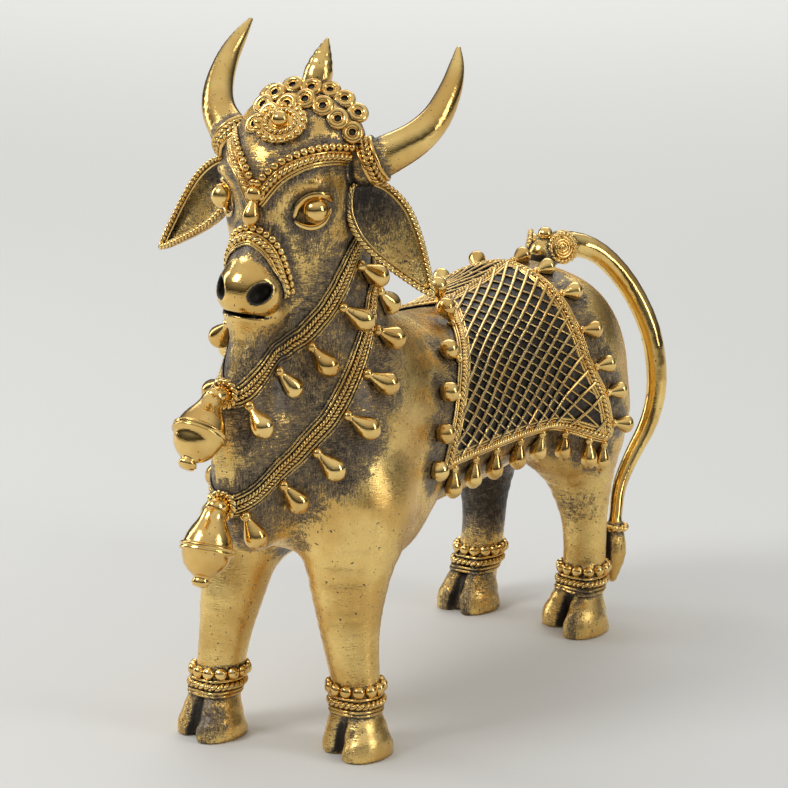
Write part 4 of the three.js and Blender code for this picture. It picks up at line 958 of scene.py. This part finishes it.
TAIL_RINGS = [(0.62, 2.3, thread), (0.76, 2.25, rope)]  # share of the first span, radius and kind
TAIL_BALL = (0.4, 40.7, 61.4)
COIL = (3, 41, 59.45)  # the left one's middle, with x from the tail's root
COIL_FACING = (0.85, -0.5, 0.15)
COIL_TURNS = 3.75
COIL_RADIUS = 1.75
HUB_ROWS = [[-2.2, 1.4], [-0.2, 2.1], [0.05, 2], [0.1, 0.2]]
HUB_RING = (2.2, 0.4)
KNOT_GAP = 0.35
KNOT_WIRE = 0.6
TAIL_DIRT = 0.5


def tail_trim():
    root, after = (array(*row[:3]) for row in TAIL[:2])
    out = [wire_ring(root + (after - root) * share, after - root, radius, 0.5, kind, True)
           for share, radius, kind in TAIL_RINGS]
    out.append(standing(ball(1.22, 1.22), array(*TAIL_BALL), UP))
    for side in SIDES:
        middle = array(root[0] + side * COIL[0], *COIL[1:])
        facing = unit(array(side * COIL_FACING[0], *COIL_FACING[1:]))
        turn = np.linspace(0, COIL_TURNS * 2 * np.pi, 130)
        spiral = np.column_stack([np.cos(turn), np.sin(turn)]) * COIL_RADIUS * turn[:, None] / turn[-1]
        coil = middle + 0.15 * facing + spiral @ np.vstack(across_frame(facing[None]))
        out.append(thread(coil, np.tile(facing, (130, 1)), 0.24))
        out.append(wire_ring(middle, facing, *HUB_RING, rope))
        out.append(standing(turned(HUB_ROWS, 24), middle, facing))
    *knot, radius = TUFT[0]
    out.append(wire_ring(array(*knot), UP, radius + KNOT_GAP, KNOT_WIRE, rope, True))
    trim = joined(out)
    trim.depth *= TAIL_DIRT
    return {"tail_trim": trim}


# Materials

# Colours of the patina as it deepens, also given to the painted shade in creases and holes
PATINA_AND_SHADE = [(0, (0.62, 0.44, 0.17)), (0.45, (0.4, 0.29, 0.13)), (0.7, (0.2, 0.148, 0.092)),
          (1, (0.035, 0.028, 0.02))]


def feed(socket, value):
    """Give a socket a constant or the value of another socket."""
    if isinstance(value, bpy.types.NodeSocket):
        socket.id_data.links.new(value, socket)
    else:
        socket.default_value = value


def add_node(tree, kind, **values):
    """A node with its sockets and options set by their names."""
    made = tree.nodes.new(kind)
    for key, value in values.items():
        if key in made.inputs:
            feed(made.inputs[key], value)
        else:
            setattr(made, key, value)
    return made


def brass(name, clean, rough, strokes, pits):
    """Brass that wear keeps bright, with dark patina where dirt stays and painted shade in creases and holes.
    """
    material = bpy.data.materials.new(name)
    material.use_nodes = True
    material.node_tree.nodes.clear()
    node = partial(add_node, material.node_tree)

    def chain(operation, total, *values):
        """The values put together from left to right."""
        for value in values:
            step = node("ShaderNodeMath", operation=operation)
            feed(step.inputs[0], total)
            feed(step.inputs[1], value)
            total = step.outputs[0]
        return total

    plus, minus, times = (partial(chain, operation) for operation in ("ADD", "SUBTRACT", "MULTIPLY"))

    def mix(kind, share, a, b):
        made = node("ShaderNodeMix", data_type=kind)
        slots, out = {"FLOAT": ((0, 2, 3), 0), "RGBA": ((0, 6, 7), 2)}[kind]
        for slot, value in zip(slots, (share, a, b)):
            feed(made.inputs[slot], value)
        return made.outputs[out]

    def ramp(value, low, high):
        limits = {"From Min": low, "From Max": high}
        return node("ShaderNodeMapRange", interpolation_type="SMOOTHSTEP", Value=value, **limits).outputs[0]

    place = node("ShaderNodeTexCoord").outputs["Object"]

    def noise(scale, detail=3.0, stretch=(1, 1, 1), turn=(0, 0, 0)):
        mapping = node("ShaderNodeMapping", Vector=place, Rotation=turn)
        mapping.inputs["Scale"].default_value = [scale * s / UNIT for s in stretch]
        return node("ShaderNodeTexNoise", Scale=1.0, Detail=detail, Vector=mapping.outputs[0]).outputs["Fac"]

    def swing(value, by):
        return times(minus(value, 0.5), by)

    grime, polish = (node("ShaderNodeAttribute", attribute_name=key).outputs["Fac"]
                     for key in ("grime", "polish"))
    broad, fine, grain = noise(0.13, 4), noise(1.1, 4), noise(4.5, 3)
    hatched = noise(0.9, 3, (1, 1, 8), (0.45, 0.3, 0.0))
    scraped = noise(0.9, 3, (7, 7, 0.8), (0.0, 0.25, 0.0))
    marks = mix("FLOAT", ramp(noise(0.09, 2), 0.4, 0.6), hatched, scraped)
    pit = ramp(noise(2.1, 1), 0.76 - 0.05 * pits, 0.79 - 0.05 * pits)
    dirt_and_shade = plus(minus(grime, times(polish, 0.2)), swing(fine, 0.6), swing(grain, 0.8),
                 swing(broad, 0.5), swing(marks, 0.8 * strokes))
    dirt_and_shade = chain("MAXIMUM", ramp(dirt_and_shade, 0.1, 1.0), times(pit, 0.85))

    paler = [min(1, 1.08 * c) for c in clean]
    deeper = [c * share for c, share in zip(clean, (0.84, 0.74, 0.62))]
    metal = mix("RGBA", ramp(broad, 0.35, 0.65), (*deeper, 1), (*paler, 1))
    tarnish_and_shade = node("ShaderNodeValToRGB", Fac=dirt_and_shade)
    steps = tarnish_and_shade.color_ramp.elements
    for at, colour in PATINA_AND_SHADE[1:-1]:
        steps.new(at).color = (*colour, 1)
    steps[0].color, steps[-1].color = (*PATINA_AND_SHADE[0][1], 1), (*PATINA_AND_SHADE[-1][1], 1)
    shader = node("ShaderNodeBsdfPrincipled")
    shader.inputs["Coat Roughness"].default_value = 0.3
    feed(shader.inputs["Base Color"], mix("RGBA", ramp(dirt_and_shade, 0.2, 0.5), metal, tarnish_and_shade.outputs["Color"]))
    blackest = ramp(dirt_and_shade, 0.85, 1.0)
    feed(shader.inputs["Metallic"], mix("FLOAT", blackest, 1.0, 0.5))
    glint = minus(ramp(dirt_and_shade, 0.3, 0.75), blackest)
    feed(shader.inputs["Coat Weight"], times(glint, 0.6))
    uneven = mix("FLOAT", polish, plus(swing(fine, 0.2), rough), 0.12)
    feed(shader.inputs["Roughness"], mix("FLOAT", ramp(dirt_and_shade, 0.2, 0.8), uneven, 0.42))
    rough_cast = times(plus(grain, times(fine, 1.5)), 1.3)
    height = plus(times(marks, strokes), times(fine, 0.22), times(noise(0.3, 2), 1.6 * strokes),
                  times(rough_cast, ramp(dirt_and_shade, 0.25, 0.75)))
    bump = node("ShaderNodeBump", Distance=0.14 * UNIT, Strength=mix("FLOAT", polish, 0.5, 0.12),
                Height=minus(height, pit))
    feed(shader.inputs["Normal"], bump.outputs[0])
    node("ShaderNodeOutputMaterial", Surface=shader.outputs[0])
    return material


def floor_material():
    material = bpy.data.materials.new("pale_paper")
    material.use_nodes = True
    tree = material.node_tree
    shader = tree.nodes["Principled BSDF"]
    shader.inputs["Base Color"].default_value = (0.745, 0.745, 0.722, 1)
    shader.inputs["Roughness"].default_value = 0.75
    grain = add_node(tree, "ShaderNodeTexNoise", Scale=900).outputs["Fac"]
    bump = add_node(tree, "ShaderNodeBump", Strength=0.05, Height=grain)
    feed(shader.inputs["Normal"], bump.outputs[0])
    return material


# Pieces in the scene

def put(name, data, at=(0, 0, 0), turn=(0, 0, 0)):
    made = bpy.data.objects.new(name, data)
    made.location = at
    made.rotation_euler = turn
    bpy.context.scene.collection.objects.link(made)
    return made


def place(shape, name, material, **values):
    """A mesh piece in metres in the frame's place."""
    mesh = bpy.data.meshes.new(name)
    faces = shape.quads.tolist() + shape.tris.tolist()
    mesh.from_pydata(((shape.points + MIDDLE) * UNIT).tolist(), [], faces)
    mesh.polygons.foreach_set("use_smooth", np.ones(len(faces), bool))
    for key, value in values.items():
        layer = mesh.attributes.new(key, "FLOAT", "POINT")
        layer.data.foreach_set("value", np.asarray(value, np.float32))
    mesh.materials.append(material)
    piece = put(name, mesh)
    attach(piece, "root")
    return piece


def grime_on_ornament(shape):
    """Dirt stays low down between the ornaments; their depth also holds painted shade in the crown rings'
    holes and the ears' roots.
    """
    return np.maximum(shape.depth, fade(-0.1, 0.5, figure(shape.points)))


def polish_on_body(points, grime):
    """The muzzle, the horns, the knob and the tail shine, apart from where dirt and painted shade lie there.
    """
    polish = fade(0.05, 0.6, limb(TAIL)[0](points))
    for (form, *_), amount in [(MUZZLE, 1)] + [(limb(rows), 0.85) for rows in HORNS + [KNOB]]:
        polish = np.maximum(polish, amount * fade(0.05, 0.6, form(in_head(points))))
    return polish * fade(0.3, 0.8, grime)


# How far the dirt spreads round each ornament
REACH = {"collars": 7, "collar_drops": 7.5, "bells": 3, "saddle_cloth": 3, "saddle_threads": 1,
         "saddle_border": 4, "saddle_drops": 5, "bracelets": 0.9, "crown_rings": 1.6, "ear_leaves": 2.6,
         "ear_rims": 2, "eyes": 3, "face_bands": 3.2, "rosette": 2.4, "pendant": 2.5, "horn_rings": 3.5,
         "tail_trim": 1.6}
# Darker patches: where, how wide and how dark
DARK_PATCHES = [((-9.2, 36, 31), 20, 1), ((-9.2, 38, 20), 15, 0.95), ((-8.5, 34, 3), 9, 0.6),
          ((-9, -43, 3), 6, 0.7), ((0, -2, 25), 16, 0.75), ((8.5, -36.4, 66.2), 9, 0.62),
          ((9.8, -34, 59.6), 8, 0.5), ((6, -38, 73), 8, 0.55), ((-8, -36, 66), 9, 0.6),
          ((10.7, -26.8, 58.5), 8, 0.5), ((4.5, -6, 56), 9, 0.45), ((0, -42, 77), 9, 0.45),
          ((10, 34, 20), 9, 0.4), ((-8, -33, 30), 9, 0.45), ((9, -33, 4), 6, 0.35),
          ((11, 52, 45), 14, 0.35), ((12, 44, 12), 8, 0.4)]


def spread(points, kinds):
    """Dirt round the ornaments of these kinds."""
    groups = [ornaments[kind].points[::2] for kind in kinds]
    reach = np.repeat([REACH[kind] for kind in kinds], [len(group) for group in groups])
    tree = KDTree(len(reach))
    for n, p in enumerate(np.vstack(groups).tolist()):
        tree.insert(p, n)
    tree.balance()
    found = [tree.find(p)[1:] for p in points.tolist()]
    nearest, gap = (np.array(column) for column in zip(*found))
    return fade(0.1, 1, gap / reach[nearest])


def grime_on_body(shape):
    big = ["collar_drops", "saddle_drops"]
    around = np.maximum(spread(shape.points, big),
                        spread(shape.points, [kind for kind in ornaments if kind not in big]))
    # Enclosed creases and the nostrils darken as painted shade, together with the patina of the hollows.
    normal = unit(slope(figure, shape.points)[1])
    openness = sum(figure(shape.points + normal * d) / d for d in (1.0, 2.5)) / 2
    nostril = np.min([form[0](in_head(shape.points)) for form in NOSTRILS], axis=0)
    layers = [0.7 * around, 1.2 * fade(0.35, 0.9, openness), 1.4 * fade(0.1, 0.45, nostril)]
    layers += [amount * fade(0.2, 1, lengths(shape.points - at) / reach)
               for at, reach, amount in DARK_PATCHES]
    return np.max(layers, axis=0)


ornaments = {}
for make in (collars, bells, saddle, bracelets, curls, ears, eyes, face_bands, rosette, pendant,
             horn_rings, tail_trim):
    ornaments.update(make())

satin = brass("satin_brass", clean=(0.9, 0.64, 0.23), rough=0.28, strokes=1.0, pits=1.0)
bright = brass("bright_brass", clean=(0.92, 0.65, 0.24), rough=0.12, strokes=0.25, pits=0.4)

for name, net in NETS.items():
    shape = parted_net(*net)
    grime = grime_on_body(shape)
    piece = place(shape, name, satin, grime=grime, polish=polish_on_body(shape.points, grime))
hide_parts("bull")
DULL = {"saddle_threads": 0.3, "collars": 0.2, "ear_leaves": 0.1, "saddle_border": 0.1}
for name, shape in ornaments.items():
    grime = grime_on_ornament(shape) + DULL.get(name, 0)
    place(shape, name, satin if name == "ear_leaves" else bright, grime=grime)


# Floor, light and camera

FLOOR_HALF = 12
AZIMUTH = math.radians(30.5)
PITCH = math.radians(12.5)
CAMERA_AT = array(219.25, -378.31, 140)
LENS = 137.06  # mm on a sensor 36 mm wide
# Name, place, target, size and power
LAMPS = [
    ("key", (-0.55, -0.85, 1.1), (0, 0, 0.12), (0.45, 0.45), 6),
    ("left", (-1.1, -0.1, 0.5), (0, 0, 0.1), (0.25, 0.8), 2.4),
    ("right", (1.2, 0.1, 0.6), (0, 0, 0.1), (0.25, 0.8), 3),
    ("far", (-1.6, 2.8, 2.2), (-1.6, 2.8, 0), (3, 3), 50),
]


def make_floor():
    corners = [(x * FLOOR_HALF, y * FLOOR_HALF, 0) for x, y in ((-1, -1), (1, -1), (1, 1), (-1, 1))]
    mesh = bpy.data.meshes.new("floor")
    mesh.from_pydata(corners, [], [(0, 1, 2, 3)])
    mesh.materials.append(floor_material())
    floor = put("floor", mesh)


def make_camera():
    camera = bpy.data.cameras.new("camera")
    camera.sensor_width = 36
    camera.lens = LENS
    camera.clip_start = 0.01
    camera.clip_end = 100
    bpy.context.scene.camera = put("camera", camera, (CAMERA_AT + MIDDLE) * UNIT,
                                   (math.pi / 2 - PITCH, 0, AZIMUTH))


def make_light():
    world = bpy.data.worlds.new("studio")
    bpy.context.scene.world = world
    world.use_nodes = True
    node = partial(add_node, world.node_tree)
    split = node("ShaderNodeSeparateXYZ", Vector=node("ShaderNodeTexCoord").outputs["Generated"])
    rise = node("ShaderNodeMapRange", interpolation_type="SMOOTHSTEP", Value=split.outputs["Z"],
                **{"To Min": 0.03, "To Max": 0.7})
    sky = world.node_tree.nodes["Background"]
    sky.inputs["Color"].default_value = (1, 1, 0.99, 1)
    feed(sky.inputs["Strength"], rise.outputs[0])
    for name, at, target, size, power in LAMPS:
        light = bpy.data.lights.new(name, "AREA")
        light.shape = "RECTANGLE"
        light.size, light.size_y = size
        light.energy = power
        put(name, light, at, (Vector(target) - Vector(at)).to_track_quat("-Z", "Y").to_euler())
    bpy.context.scene.view_settings.view_transform = "Standard"


make_floor()
make_light()
make_camera()
